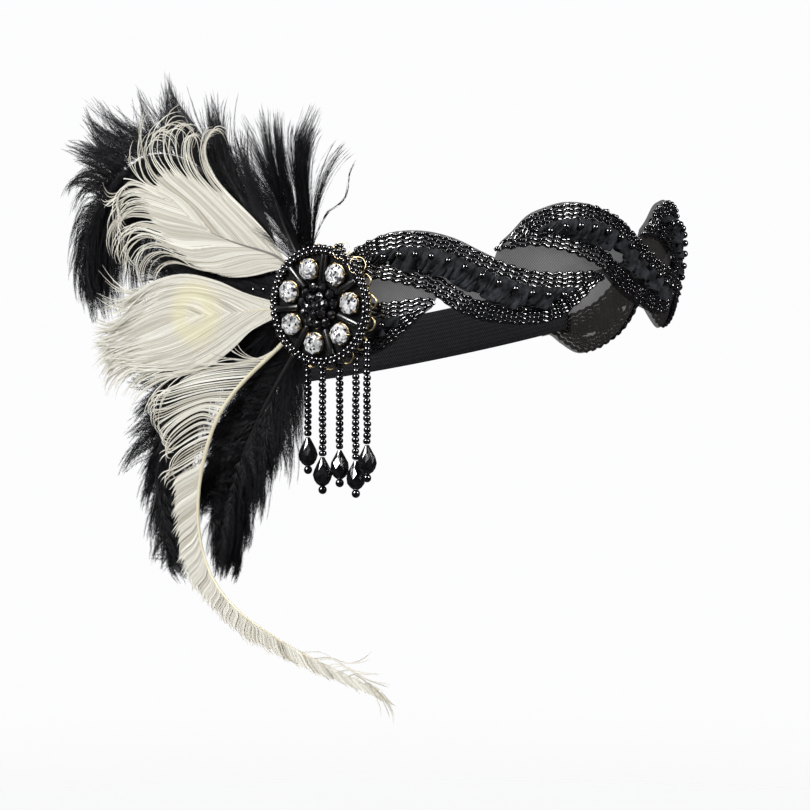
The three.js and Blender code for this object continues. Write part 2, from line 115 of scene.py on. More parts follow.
window("window_left", turn=-78, rise=28, distance=1.3, side=0.3, power=9)
window("window_right", turn=20, rise=26, distance=1.3, side=0.22, power=8)
window("window_above", turn=-30, rise=80, distance=1.5, side=1, power=8, shiny=False)
window("window_behind", turn=150, rise=35, distance=1.6, side=0.9, power=5)
window("glint_left", turn=-74, rise=34, distance=1.3, side=0.44, power=28, soft=False)
window("glint_right", turn=26, rise=24, distance=1.3, side=0.34, power=13, soft=False)

floor_level = -0.26
floor_reach = 1.5
floor_bm = bmesh.new()
bmesh.ops.create_circle(
    floor_bm, cap_ends=True, segments=96, radius=floor_reach,
    matrix=Matrix.Translation((0, 0, floor_level)),
)
floor_mesh = bpy.data.meshes.new("floor")
floor_bm.to_mesh(floor_mesh)
floor_bm.free()
floor = bpy.data.objects.new("floor", floor_mesh)
bpy.context.scene.collection.objects.link(floor)
floor.visible_glossy = False


class Wire:
    """A shader value. Python's operators join it to others through Math nodes."""

    def __init__(self, finish, socket):
        self.finish = finish
        self.socket = socket

    def math(self, operation, *terms):
        return self.finish.node("ShaderNodeMath", {"operation": operation}, *terms)

    def __add__(self, other):
        return self.math("ADD", self, other)

    def __sub__(self, other):
        return self.math("SUBTRACT", self, other)

    def __rsub__(self, other):
        return self.math("SUBTRACT", other, self)

    def __mul__(self, other):
        return self.math("MULTIPLY", self, other)

    def __gt__(self, other):
        return self.math("GREATER_THAN", self, other)

    __radd__ = __add__
    __rmul__ = __mul__

    def abs(self):
        return self.math("ABSOLUTE", self)

    def sin(self):
        return self.math("SINE", self)

    def fraction(self):
        return self.math("FRACT", self)

    def ease(self, low, high, to_low=0, to_high=1):
        """Smoothly from to_low, where the value is low, to to_high, where it is high."""
        settings = {"interpolation_type": "SMOOTHSTEP"}
        return self.finish.node("ShaderNodeMapRange", settings, self, low, high, to_low, to_high)


class Finish:
    """A material, whose Principled shader takes values or wires by its sockets' names."""

    def __init__(self, name, **sockets):
        self.material = bpy.data.materials.new(name)
        self.material.use_nodes = True
        self.tree = self.material.node_tree
        self.shader = self.tree.nodes["Principled BSDF"]
        self.set(**sockets)

    def fill(self, socket, value):
        if isinstance(value, Wire):
            self.tree.links.new(value.socket, socket)
        elif hasattr(value, "__len__") and len(value) == 3 and socket.type == "RGBA":
            socket.default_value = (*value, 1)
        else:
            socket.default_value = value

    def set(self, **sockets):
        for name, value in sockets.items():
            self.fill(self.shader.inputs[name.replace("_", " ")], value)

    def node(self, kind, settings, *values, output=0, **sockets):
        made = self.tree.nodes.new(kind)
        for name, value in settings.items():
            setattr(made, name, value)
        for socket, value in zip(made.inputs, values):
            self.fill(socket, value)
        for name, value in sockets.items():
            self.fill(made.inputs[name.replace("_", " ")], value)
        return Wire(self, made.outputs[output])

    def place(self):
        return self.node("ShaderNodeTexCoord", {}, output=3)

    def along(self, axis):
        """The first (0) or second (1) number of the piece's own map."""
        spot = self.node("ShaderNodeUVMap", {})
        return self.node("ShaderNodeSeparateXYZ", {}, spot, output=axis)

    def grain(self, scale, detail=3):
        spot = self.place()
        return self.node("ShaderNodeTexNoise", {}, Vector=spot, Scale=scale, Detail=detail)

    def blend(self, share, first, second):
        """A colour between two others."""
        made = self.tree.nodes.new("ShaderNodeMix")
        made.data_type = "RGBA"
        for socket, value in ((0, share), (6, first), (7, second)):
            self.fill(made.inputs[socket], value)
        return Wire(self, made.outputs[2])

    def bump(self, height, depth):
        return self.node("ShaderNodeBump", {}, Height=height, Distance=depth)


pale = Finish("pale_floor", Roughness=0.9, Specular_IOR_Level=0.1)
from_middle = pale.node(
    "ShaderNodeVectorMath", {"operation": "LENGTH"}, pale.place(), output=1
)
pale.set(
    Base_Color=pale.blend(pale.grain(3), (0.95, 0.95, 0.95), (0.98, 0.98, 0.98)),
    Alpha=from_middle.ease(0.05 * floor_reach, 0.6 * floor_reach, 1, 0),
)
floor_mesh.materials.append(pale.material)

# Sheer net
# A strip of dark net, cut along the outer edges of the beaded leaves, which are sewn to it.
# It bends round the forehead on an oval loop, which tips up at the front and down at the side.
loop_half_width = 76.5 * mm
loop_half_depth = 97 * mm
loop_pitch = math.tan(math.radians(12))
loop_roll = math.tan(math.radians(5))
loop_steps = 720
half_band = 19 * mm
leaf_length = 93.4 * mm
leaf_starts = [(-138 + 56 * leaf) * mm for leaf in range(5)]
net_margin = 0.2 * mm
net_lift = 0.6 * mm
tab_height = 9 * mm

loop_lengths = [0]
for step in range(loop_steps):
    angle = (step + 0.5) / loop_steps * math.tau
    stride = math.hypot(loop_half_width * math.cos(angle), loop_half_depth * math.sin(angle))
    loop_lengths.append(loop_lengths[-1] + stride * math.tau / loop_steps)


def loop_angle(s):
    s %= loop_lengths[-1]
    at = min(bisect.bisect_right(loop_lengths, s) - 1, loop_steps - 1)
    part = (s - loop_lengths[at]) / (loop_lengths[at + 1] - loop_lengths[at])
    return (at + part) / loop_steps * math.tau


def loop_normal(angle):
    return Vector((
        math.sin(angle) / loop_half_width, -math.cos(angle) / loop_half_depth, 0
    )).normalized()


def loop_spot(angle, h, w):
    x = loop_half_width * math.sin(angle)
    y = -loop_half_depth * math.cos(angle)
    return Vector((x, y, x * loop_roll - y * loop_pitch + h)) + loop_normal(angle) * w


def loop_point(s, h, w):
    """The place s along the loop from the middle of the forehead, h up and w outwards."""
    return loop_spot(loop_angle(s), h, w)


leaf_edges = [
    # along, upper, lower, as shares of the leaf's length and of half the band's height
    (0, 0.41, 0.35),
    (0.05, 0.59, 0.335),
    (0.107, 0.84, 0.34),
    (0.16, 0.93, 0.295),
    (0.235, 0.99, 0.18),
    (0.31, 0.953, 0.02),
    (0.385, 0.85, -0.18),
    (0.47, 0.65, -0.547),
    (0.557, 0.36, -0.79),
    (0.642, 0.105, -0.916),
    (0.728, -0.08, -0.99),
    (0.814, -0.153, -0.958),
    (0.9, -0.19, -0.71),
    (0.964, -0.215, -0.46),
    (1, -0.305, -0.375),
]


def smooth_row(rows, share):
    """The columns of a table at that share of its length, on a smooth curve through its rows."""
    at = min(max(bisect.bisect_right([row[0] for row in rows], share) - 1, 0), len(rows) - 2)
    before, here, there, after = (
        rows[max(at - 1, 0)], rows[at], rows[at + 1], rows[min(at + 2, len(rows) - 1)]
    )
    span = there[0] - here[0]
    t = min(max((share - here[0]) / span, 0), 1)
    out = []
    for column in range(1, len(here)):
        slope_here = (there[column] - before[column]) / (there[0] - before[0])
        slope_there = (after[column] - here[column]) / (after[0] - here[0])
        near = (2 * t**3 - 3 * t**2 + 1) * here[column]
        far = (3 * t**2 - 2 * t**3) * there[column]
        turn = (t**3 - 2 * t**2 + t) * slope_here + (t**3 - t**2) * slope_there
        out.append(near + far + turn * span)
    return out


def leaf_reach(share):
    """A leaf's upper and lower edge at a share of its length."""
    upper, lower = smooth_row(leaf_edges, share)
    return upper * half_band, lower * half_band


def net_reach(s):
    """The net's lowest and highest edge there, over all the leaves that it passes."""
    shares = [(s - start) / leaf_length for start in leaf_starts]
    rows = [leaf_reach(share) for share in shares if 0 <= share <= 1]
    low = min(row[1] for row in rows)
    high = max(row[0] for row in rows)
    if min(s - leaf_starts[0], leaf_starts[-1] + leaf_length - s) < leaf_length / 2:
        low = min(low, -tab_height)
        high = max(high, tab_height)
    return low - net_margin, high + net_margin


def add_piece(mesh, finish, slot, *nodes):
    """Gives the mesh its finish and lets it ride in place of its CAD nodes."""
    mesh.materials.append(finish.material)
    piece = bpy.data.objects.new(mesh.name, mesh)
    bpy.context.scene.collection.objects.link(piece)
    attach(piece, "root")
    if nodes:
        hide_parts(*nodes)
    return piece


def to_mesh(name, bm, place=Matrix.Identity(4), smooth=None):
    """The finished mesh, in its place. It is all smooth (True), all flat (False) or as it is."""
    bmesh.ops.transform(bm, matrix=place, verts=bm.verts)
    for face in bm.faces:
        face.smooth = face.smooth if smooth is None else smooth
    mesh = bpy.data.meshes.new(name)
    bm.to_mesh(mesh)
    bm.free()
    return mesh


net_start = leaf_starts[0]
net_length = leaf_starts[-1] + leaf_length - net_start
net_end = net_start + net_length - 0.001 * mm


def woven_strip(name, columns, rows, place):
    """A strip of cloth. place takes the share across and up, and gives its place and its map."""
    bm = bmesh.new()
    threads = bm.loops.layers.uv.new("threads")
    grid = bmesh.ops.create_grid(bm, x_segments=columns, y_segments=rows, size=0.5)["verts"]
    spots = {vert: place(vert.co.x + 0.5, vert.co.y + 0.5) for vert in grid}
    for vert, (spot, _) in spots.items():
        vert.co = spot
    for face in bm.faces:
        for loop in face.loops:
            loop[threads].uv = spots[loop.vert][1]
    bmesh.ops.recalc_face_normals(bm, faces=bm.faces)
    return to_mesh(name, bm, smooth=True)


def net_place(across, up):
    s = net_start + across * net_length
    low, high = net_reach(min(s, net_end))
    h = low + (high - low) * up
    return loop_point(s, h, net_lift), (s / mm, h / mm)


net = Finish("dark_net", Roughness=0.8, Specular_IOR_Level=0.1)
holes_per_mm = 1.9
weft = (net.along(0) * holes_per_mm + net.along(1) * holes_per_mm * 0.5).fraction() - 0.5
warp = (net.along(1) * holes_per_mm - net.along(0) * holes_per_mm * 0.5).fraction() - 0.5
threads = weft.abs().ease(0.2, 0.45) + warp.abs().ease(0.2, 0.45)
net.set(
    Base_Color=net.blend(net.grain(90), (0.016, 0.014, 0.013), (0.035, 0.031, 0.029)),
    Alpha=(threads * 0.14 + 0.82) * net.grain(60).ease(0.2, 0.8, 0.92, 1),
)
net_mesh = woven_strip("sheer_net", 190, 8, net_place)
sheer = add_piece(net_mesh, net, "sheer_mesh", "band_backing")

# Beaded leaf edges
# Rows of tiny black glass beads, couched side by side on a wavy thread along the edges of each
# leaf. They turn round at its ends, and the outer edge has rounder beads that stand up.
row_count = 4
row_pitch = 1.42 * mm
bead_pitch = 1.55 * mm
bead_length = 2.1 * mm
bead_radius = 0.62 * mm
wave_length = 3.9 * mm
wave_height = 0.24 * mm
cord_base = 1.3 * mm
cord_crown = 0.9 * mm
standing_bead_radius = 0.82 * mm
standing_bead_every = 3
outer_share = 0.42
closest_beads = 0.6 * bead_pitch
row_give = 0.4 * mm
outline_steps = 400

glass = Finish("black_glass", Specular_IOR_Level=1.0, Coat_Weight=0.6, Coat_Roughness=0.05)
glass.set(
    Base_Color=glass.blend(
        glass.grain(700, 1).ease(0.4, 0.65), (0.002, 0.002, 0.003), (0.01, 0.009, 0.012)
    ),
    Roughness=glass.grain(350, 1).ease(0.3, 0.7, 0.04, 0.1),
)


def join_copies(name, seed, spots, shades=None, smooth=True):
    """One mesh of many copies of a seed. spots holds the places of every copy's vertices.
    The map gives each copy's own shade and, along it, the seed's y."""
    seed.verts.index_update()
    count = len(spots)
    faces = [[vert.index for vert in face.verts] for face in seed.faces]
    size = len(seed.verts)
    every = [[index + size * copy for index in face] for copy in range(count) for face in faces]
    mesh = bpy.data.meshes.new(name)
    mesh.from_pydata(numpy.reshape(spots, (-1, 3)), [], every)
    if shades is not None:
        down = [seed_vert.co.y for seed_vert in seed.verts]
        corners = numpy.array([down[index] for face in faces for index in face])
        own = numpy.empty((count, len(corners), 2))
        own[..., 0] = numpy.reshape(shades, (-1, 1))
        own[..., 1] = corners
        layer = mesh.uv_layers.new(name="shade")
        layer.data.foreach_set("uv", own.ravel())
    if smooth:
        mesh.shade_smooth()
    else:
        mesh.shade_flat()
    return mesh


def bead_piece(name, seed, matrices, finish, *nodes, smooth=True):
    """One piece of many copies of a bead, each under its own matrix."""
    corners = numpy.array([(*vert.co, 1) for vert in seed.verts])
    spots = numpy.einsum("nij,vj->nvi", numpy.array(matrices), corners)[..., :3]
    return add_piece(join_copies(name, seed, spots, smooth=smooth), finish, "black_beads", *nodes)


def round_bead(segments, rings):
    bm = bmesh.new()
    bmesh.ops.create_uvsphere(bm, u_segments=segments, v_segments=rings, radius=1)
    return bm


def barrel_bead(segments, rings, straight):
    """A bead with rounded ends, whose side is bowed (0) to straight (1)."""
    bm = round_bead(segments, rings)
    for vert in bm.verts:
        vert.co.xy *= max(vert.co.xy.length, 0.01) ** -straight
    return bm


def on_band(spot, way, w, radius, length):
    """The matrix that lays a bead of radius 1 on the band along its thread."""
    out = loop_normal(loop_angle(spot.x))
    here = loop_point(spot.x, spot.y, w)
    ahead = loop_point(spot.x + way.x * mm, spot.y + way.y * mm, w)
    thread = (ahead - here).normalized()
    across = out.cross(thread).normalized()
    turned = Matrix((across, thread.cross(across), thread)).transposed().to_4x4()
    size = Matrix.Diagonal((radius, radius, length / 2, 1))
    return Matrix.Translation(here) @ turned @ size


def leaf_outline(start):
    """The leaf's closed outline at the beads' pitch, unrolled to (s, h)."""
    shares = [step / outline_steps for step in range(outline_steps + 1)]
    above = [Vector((start + share * leaf_length, leaf_reach(share)[0])) for share in shares]
    below = [Vector((start + share * leaf_length, leaf_reach(share)[1])) for share in shares]
    line = above + below[::-1] + above[:1]
    places = []
    left = 0
    for here, there in zip(line, line[1:]):
        step = (there - here).length
        while left <= step:
            places.append(here.lerp(there, left / step))
            left += bead_pitch
        left -= step
    return places, numpy.array(line)


def beaded_leaf(leaf, start):
    outline, fine = leaf_outline(start)
    count = len(outline)
    small = []
    standing = []
    for row in range(row_count):
        depth = (row + 0.5) * row_pitch
        crown = cord_crown * math.sin(math.pi * (row + 0.5) / row_count)
        last = None
        for number in range(count):
            way = (outline[(number + 1) % count] - outline[number - 1]).normalized()
            side = Vector((way.y, -way.x))
            phase = number * bead_pitch / wave_length * math.tau
            spot = outline[number] + side * (depth + wave_height * math.sin(phase))
            room = numpy.hypot(*(fine - numpy.array(spot)).T).min()
            if room < depth - row_give or (last and (spot - last).length < closest_beads):
                continue
            last = spot
            tilt = wave_height / wave_length * math.tau * math.cos(phase)
            lean = (way + side * tilt).normalized()
            fat = random.uniform(0.97, 1.03) * bead_radius
            w = cord_base + fat + crown
            small.append(on_band(spot, lean, w, fat, bead_length))
            if row == 0 and number % standing_bead_every == 0 and number < outer_share * count:
                standing.append(on_band(
                    spot, way, w + fat, standing_bead_radius, 1.8 * standing_bead_radius
                ))
    cords = (f"upper_cord_{leaf}", f"lower_cord_{leaf}")
    bead_piece(f"bead_rows_{leaf}", barrel_bead(8, 7, 0.88), small, glass, *cords)
    bead_piece(f"standing_beads_{leaf}", round_bead(12, 8), standing, glass)


random.seed(7)
for leaf, start in enumerate(leaf_starts, 1):
    beaded_leaf(leaf, start)

# Ruffles
# Matt black ribbon, gathered into overlapping petals down the inside of each leaf, with a
# larger bead sewn through the top of every second petal.
cord_width = row_count * row_pitch
petal_pitch = 2.5 * mm
petals_a_bead = 2
petal_width = 6.4 * mm
petal_height = 7.3 * mm
petal_arch = 1.8 * mm
petal_lap = 0.8 * mm
crease_depth = 0.72 * mm
least_room = 1.2 * mm
petal_overhang = 0.9 * mm
gather_rise = 0.6 * mm
ribbon_thickness = 0.2 * mm
ruffle_bead_radius = 1.25 * mm
ruffle_bead_below = 1.7 * mm
ruffle_bead_stand = 2.1 * mm

ribbon = Finish("black_ribbon", Roughness=0.75, Specular_IOR_Level=0.15)
ribbon.set(Sheen_Weight=0.04, Sheen_Roughness=0.4)
weave = (ribbon.along(1) * 30 * math.pi).sin() * (ribbon.along(0) * 26 * math.pi).sin()
ribbon.set(
    Base_Color=ribbon.blend(
        ribbon.grain(320).ease(0.35, 0.7), (0.005, 0.006, 0.008), (0.034, 0.038, 0.046)
    ),
    Roughness=ribbon.grain(500).ease(0.3, 0.7, 0.6, 0.85),
    Normal=ribbon.bump(weave * 0.5 + ribbon.grain(600), 0.15 * mm),
)


def petals_of(start):
    """Where a leaf's petals hang: middle, upper end, room below it and slope."""
    count = int(leaf_length / petal_pitch)
    for number in range(count):
        share = (number + 0.5) / count
        upper, lower = leaf_reach(share)
        cord = min(cord_width, (upper - lower) / 2)
        room = upper - lower - 2 * cord
        rise = leaf_reach(min(share + 0.03, 1))[0] - leaf_reach(max(share - 0.03, 0))[0]
        if room > least_room:
            middle = start + share * leaf_length
            drop = min(room + petal_overhang, petal_height)
            yield middle, upper - cord, drop, rise / leaf_length / 0.06


def thicken(piece, thickness):
    walls = piece.modifiers.new("wall", "SOLIDIFY")
    walls.thickness = thickness
    walls.offset = 0


def ruffle(leaf, start):
    bm = bmesh.new()
    threads = bm.loops.layers.uv.new("threads")
    sewn = []
    for number, (middle, top, drop, slope) in enumerate(petals_of(start)):
        pinch = random.uniform(0.66, 1.1)
        swing = random.uniform(-2.4, -0.2) * mm
        crumple = random.uniform(0, math.tau)
        lean = random.uniform(-0.25, 0.25)
        puff = random.uniform(0.3, 1) * mm
        petal = bmesh.ops.create_grid(bm, x_segments=11, y_segments=11, size=0.5)["verts"]
        spots = {vert: (vert.co.x + 0.5, 0.5 - vert.co.y) for vert in petal}
        for vert, (across, down) in spots.items():
            side = (across - 0.5) * petal_width * (0.75 + 0.3 * down) * pinch
            corner = 0.12 * drop * abs(2 * across - 1) ** 4 * down**2
            s = middle + side + swing * down + slope * drop * down * 0.3
            h = top + gather_rise + (slope + lean * down) * side - drop * down * pinch + corner
            crease = math.sin(across * 8 + crumple + 4 * down)
            crease += 0.6 * math.sin(across * 17 - crumple + down * 11)
            arch = petal_arch * math.sin(min(0.15 + down, 1) * 0.72 * math.pi)
            arch += puff * (1 - (2 * across - 1) ** 2)
            w = cord_base + arch + petal_lap * across + crease_depth * crease * (0.45 + down)
            vert.co = loop_point(s, h, w)
        for face in {face for vert in petal for face in vert.link_faces}:
            for loop in face.loops:
                loop[threads].uv = spots[loop.vert]
        if number % petals_a_bead == 0:
            sewn.append(on_band(
                Vector((middle, top - ruffle_bead_below)), Vector((1, slope)).normalized(),
                cord_base + petal_arch + ruffle_bead_stand, ruffle_bead_radius,
                1.8 * ruffle_bead_radius,
            ))
    bmesh.ops.recalc_face_normals(bm, faces=bm.faces)
    mesh = to_mesh(f"gathered_ruffle_{leaf}", bm, smooth=True)
    piece = add_piece(mesh, ribbon, "black_ribbon", f"ruffle_{leaf}")
    thicken(piece, ribbon_thickness)
    beads = bead_piece(f"ruffle_beads_{leaf}", round_bead(16, 10), sewn, glass)


random.seed(11)
for leaf, start in enumerate(leaf_starts, 1):
    ruffle(leaf, start)

# Elastic back
# Plain woven black elastic, stitched under the net at both ends and stretched round the back.
strap_height = 18 * mm
strap_overlap = 14 * mm
strap_lift = -0.9 * mm
strap_thickness = 1.1 * mm
rib_pitch = 1.5
pick_pitch = 0.9
strap_start = leaf_starts[-1] + leaf_length - strap_overlap
strap_length = leaf_starts[0] + loop_lengths[-1] + strap_overlap - strap_start

woven = Finish("woven_elastic", Roughness=0.85, Specular_IOR_Level=0.1)
ribs = (woven.along(1) * (math.tau / rib_pitch)).sin()
picks = (woven.along(0) * (math.tau / pick_pitch)).sin()
woven.set(
    Base_Color=woven.blend(
        (ribs * picks + woven.grain(900)).ease(-0.6, 1.4), (0.005, 0.005, 0.006),
        (0.03, 0.03, 0.033),
    ),
    Normal=woven.bump(ribs * 0.5 + ribs * picks * 0.5, 0.25 * mm),
)


def strap_place(across, up):
    s = strap_start + across * strap_length
    h = (up - 0.5) * strap_height
    return loop_point(s, h, strap_lift), (s / mm, h / mm)


strap_mesh = woven_strip("elastic_back", 120, 6, strap_place)
strap = add_piece(strap_mesh, woven, "elastic", "elastic_strap")
thicken(strap, strap_thickness)

# Medallion backing
# A black felt disc on a gilt plate. Fine gilt wire, wound double, loops out past the edge in
# scallops, and a shank of stitches and glue holds the plate to the band.
medallion_angle = math.radians(-56)
plate_back = 6.1 * mm
plate_front = 7.7 * mm
plate_radius = 18.6 * mm
felt_radius = 18 * mm
felt_sink = 0.5 * mm
felt_rise = 0.3 * mm
scallops = 16
scallop_turn = 0.3
scallop_ring = 17.9 * mm
scallop_radius = 2.4 * mm
scallop_drift = Vector((0.9, -0.5, 0)) * mm
wire_radius = 0.22 * mm
shank_radius = 5 * mm
shank_back = 2.2 * mm
lobes = [math.radians(42), math.radians(65)]
lobe_tilt = 0.35
lobe_ring = 19.7 * mm
lobe_radius = 2.8 * mm
lobe_height = 8.7 * mm
medallion_out = loop_normal(medallion_angle)
medallion_front = Vector((0, 0, 1)).cross(medallion_out)
medallion = Matrix.Translation(loop_spot(medallion_angle, 0, 0)) @ Matrix(
    (medallion_front, Vector((0, 0, 1)), medallion_out)
).transposed().to_4x4()

gilt = Finish("gilt_wire", Metallic=1.0, Roughness=0.22)
gilt.set(
    Base_Color=gilt.blend(gilt.grain(500), (0.45, 0.32, 0.15), (0.72, 0.6, 0.36)),
    Roughness=gilt.grain(900).ease(0.3, 0.7, 0.3, 0.45),
    Normal=gilt.bump(gilt.grain(1400), 0.04 * mm),
)
felt = Finish("black_felt", Roughness=0.95, Specular_IOR_Level=0.15)
felt.set(
    Base_Color=felt.blend(felt.grain(900), (0.003, 0.003, 0.004), (0.018, 0.018, 0.02)),
    Normal=felt.bump(felt.grain(1600, 5), 0.3 * mm),
)


def around(radius, angle, height=0):
    """A place round the middle of the medallion, in its own frame."""
    return Vector((radius * math.cos(angle), radius * math.sin(angle), height))


def rod(bm, radius, length, place, sides, rounding, steps):
    """A round rod or plate about its own middle, with rounded edges."""
    made = bmesh.ops.create_cone(
        bm, cap_ends=True, segments=sides, radius1=radius, radius2=radius, depth=length,
        matrix=place,
    )["verts"]
    edges = {edge for vert in made for edge in vert.link_edges}
    ends = [edge for edge in edges if any(len(face.verts) > 4 for face in edge.link_faces)]
    bmesh.ops.bevel(
        bm, geom=ends, offset=rounding, segments=steps, profile=0.5, affect="EDGES", material=-1
    )


def disc(bm, radius, back, front, sides=64):
    middle = Matrix.Translation((0, 0, (front + back) / 2))
    rod(bm, radius, front - back, middle, sides, 0.25 * (front - back), 2)


def ring(bm, centre, radius, thickness, segments=26, sides=6, turn=Matrix.Identity(4)):
    """A ring of wire, spun from a small circle."""
    place = Matrix.Translation(centre) @ turn
    start = bmesh.ops.create_circle(
        bm, segments=sides, radius=thickness,
        matrix=place @ Matrix.Translation((radius, 0, 0)) @ Matrix.Rotation(math.pi / 2, 4, "X"),
    )["verts"]
    edges = {edge for vert in start for edge in vert.link_edges}
    bmesh.ops.spin(
        bm, geom=list(start) + list(edges), cent=centre, axis=turn @ Vector((0, 0, 1)),
        angle=math.tau, steps=segments, use_merge=True,
    )


bm = bmesh.new()
disc(bm, plate_radius, plate_back, plate_front - felt_sink)
disc(bm, shank_radius, shank_back, plate_back, sides=32)
for number in range(scallops):
    angle = (number + scallop_turn) / scallops * math.tau
    for wind in range(2):
        height = plate_front - (wind + 0.4) * 2.2 * wire_radius
        centre = scallop_drift + around(scallop_ring, angle, height)
        ring(bm, centre, scallop_radius - wind * 0.5 * wire_radius, wire_radius)
for lobe in lobes:
    turned = Matrix.Rotation(lobe, 4, "Z") @ Matrix.Rotation(lobe_tilt, 4, "Y")
    centre = around(lobe_ring, lobe, lobe_height)
    ring(bm, centre, lobe_radius, wire_radius, segments=32, turn=turned)
bmesh.ops.recalc_face_normals(bm, faces=bm.faces)
plate = to_mesh("gilt_scallops", bm, medallion, smooth=True)
add_piece(plate, gilt, "gilt", "medallion_plate")

bm = bmesh.new()
disc(bm, felt_radius, plate_front - felt_sink, plate_front + felt_rise)
add_piece(to_mesh("felt_disc", bm, medallion, smooth=True), felt, "black_ribbon")

# Rim beads
# Two rows of round black beads, sewn round the edge of the felt. At the top front, two small
# lobes of the same beads fill the gilt loops.
seat = 8 * mm
rim_bead_radius = 1 * mm
rim_rows = [
    # radius of the row, height over the seat
    (17.45 * mm, 0.95 * mm),
    (18.85 * mm, 0.75 * mm),
]
rim_beads_a_row = 58
lobe_beads = 6
lobe_bead_ring = 1.75 * mm
lobe_bead_radius = 0.85 * mm
lobe_crown = 0.4 * mm

places = []
for row, (radius, height) in enumerate(rim_rows):
    for number in range(rim_beads_a_row):
        angle = (number + row * 0.5) / rim_beads_a_row * math.tau + random.uniform(-0.01, 0.01)
        places.append((around(radius, angle, seat + height), rim_bead_radius))
for lobe in lobes:
    middle = around(lobe_ring, lobe, lobe_height + mm)
    for number in range(lobe_beads):
        angle = number / lobe_beads * math.tau + lobe
        places.append((middle + around(lobe_bead_ring, angle), lobe_bead_radius))
    places.append((middle + Vector((0, 0, lobe_crown)), lobe_bead_radius))
bead_piece("rim_bead_rows", round_bead(12, 8), [
    medallion @ Matrix.Translation(place) @ Matrix.Diagonal((size, size, 0.9 * size, 1))
    for place, size in places
], glass, "rim_beads")

# Stones and their settings
# Seven round cut crystals with foiled backs. Each sits in a small gilt cup, held by four claws.
stone_count = 7
stone_ring = 12.25 * mm
stone_turn = math.radians(5)
stone_radius = 3.55 * mm
stone_height = 3 * mm
girdle_rise = 2.25 * mm
stone_rings = [
    # radius, height over the girdle, turn in sides, from the table to the back
    (0.52, 0.42, 0.5),
    (0.82, 0.22, 0),
    (1, 0.04, 0.5),
    (1, -0.04, 0.5),
    (0.35, -0.46, 0),
]
cup_radius = 3.35 * mm
cup_height = 2 * mm
claws = 4
claw_radius = 0.34 * mm
claw_gap = 0.2 * mm

crystal = Finish("cut_crystal", Roughness=0.05, Specular_IOR_Level=1.0, Coat_Weight=1.0)
crystal.set(Coat_Roughness=0.03)
# The base colour is painted reflection: near-white cells are painted glints, and dark grey cells
# are painted dark reflections, standing in for what the cut facets mirror.
painted_glint_cells = crystal.node(
    "ShaderNodeTexVoronoi", {"feature": "F1"}, Vector=crystal.place(), Scale=1300, output=1
)
painted_glint_share = crystal.node("ShaderNodeSeparateColor", {}, painted_glint_cells)
other = crystal.node("ShaderNodeSeparateColor", {}, painted_glint_cells, output=1)
dark = crystal.blend(other.ease(0.2, 0.9), (0.02, 0.02, 0.025), (0.22, 0.22, 0.24))
painted_bright_facets = crystal.blend(other.ease(0, 0.4), (0.75, 0.76, 0.79), (1, 1, 1))
crystal.set(
    Base_Color=crystal.blend(painted_glint_share.ease(0.22, 0.34), dark, painted_bright_facets),
    Metallic=(other > 0.62) * 0.5,
    Normal=crystal.bump(other * 3, 0.35 * mm),
)


def cut_glass(rings, radius, height, level, sides=8):
    """Facets between rings of corners. Those within level degrees of each other are joined."""
    bm = bmesh.new()
    for wide, high, turn in rings:
        for side in range(sides):
            angle = (side + turn) / sides * math.tau
            bm.verts.new(around(wide * radius, angle, high * height))
    bmesh.ops.convex_hull(bm, input=bm.verts)
    bmesh.ops.dissolve_limit(
        bm, angle_limit=math.radians(level), verts=bm.verts, edges=bm.edges
    )
    return bm


def claw_cup():
    bm = bmesh.new()
    bmesh.ops.create_cone(
        bm, cap_ends=True, segments=20, radius1=0.8 * cup_radius, radius2=cup_radius,
        depth=0.6 * cup_height, matrix=Matrix.Translation((0, 0, 0.3 * cup_height)),
    )
    ring(bm, Vector((0, 0, 0.62 * cup_height)), cup_radius, wire_radius, segments=20)
    for number in range(claws):
        angle = (number + 0.5) / claws * math.tau
        foot = around(cup_radius + claw_gap, angle)
        tip = foot * 0.78 + Vector((0, 0, 1.35 * cup_height))
        knee = foot + Vector((0, 0, 1.1 * cup_height))
        for low, high, thick in ((foot, knee, 1.3), (knee, tip, 1)):
            way = high - low
            turn = way.to_track_quat("Z", "Y").to_matrix().to_4x4()
            bmesh.ops.create_uvsphere(
                bm, u_segments=8, v_segments=6, radius=1,
                matrix=Matrix.Translation((low + high) / 2) @ turn @ Matrix.Diagonal(
                    (thick * claw_radius, thick * claw_radius, way.length * 0.62, 1)
                ),
            )
    bmesh.ops.recalc_face_normals(bm, faces=bm.faces)
    return bm


for number in range(stone_count):
    angle = stone_turn + number / stone_count * math.tau
    tilt = Matrix.Rotation(random.uniform(-0.12, 0.12), 4, "X")
    turn = Matrix.Rotation(random.uniform(0, 3), 4, "Z") @ tilt
    girdle = Matrix.Translation(around(stone_ring, angle, seat + girdle_rise))
    gem = cut_glass(stone_rings, stone_radius, stone_height, level=2)
    gem = to_mesh(f"cut_stone_{number + 1}", gem, medallion @ girdle @ turn, smooth=False)
    add_piece(gem, crystal, "crystal", f"stone_{number + 1}")
    turn = Matrix.Rotation(angle + random.uniform(-0.3, 0.3), 4, "Z")
    foot = Matrix.Translation(around(stone_ring, angle, seat))
    cup = to_mesh(f"claw_cup_{number + 1}", claw_cup(), medallion @ foot @ turn, smooth=True)
    add_piece(cup, gilt, "gilt", f"stone_cup_{number + 1}")

# Bugle beads
# Long black glass tubes, sewn down between the stones. The top spoke is a pair of thinner ones.
bugle_from = 8 * mm
bugle_to = 16.6 * mm
bugle_radius = 1.1 * mm
bugle_sides = 14
paired_bugle = 1

satin = Finish("satin_bugle", Specular_IOR_Level=0.7)
satin.set(
    Base_Color=satin.blend(satin.grain(500), (0.002, 0.002, 0.003), (0.012, 0.012, 0.014)),
    Roughness=satin.grain(250, 1).ease(0.3, 0.7, 0.24, 0.32),
)


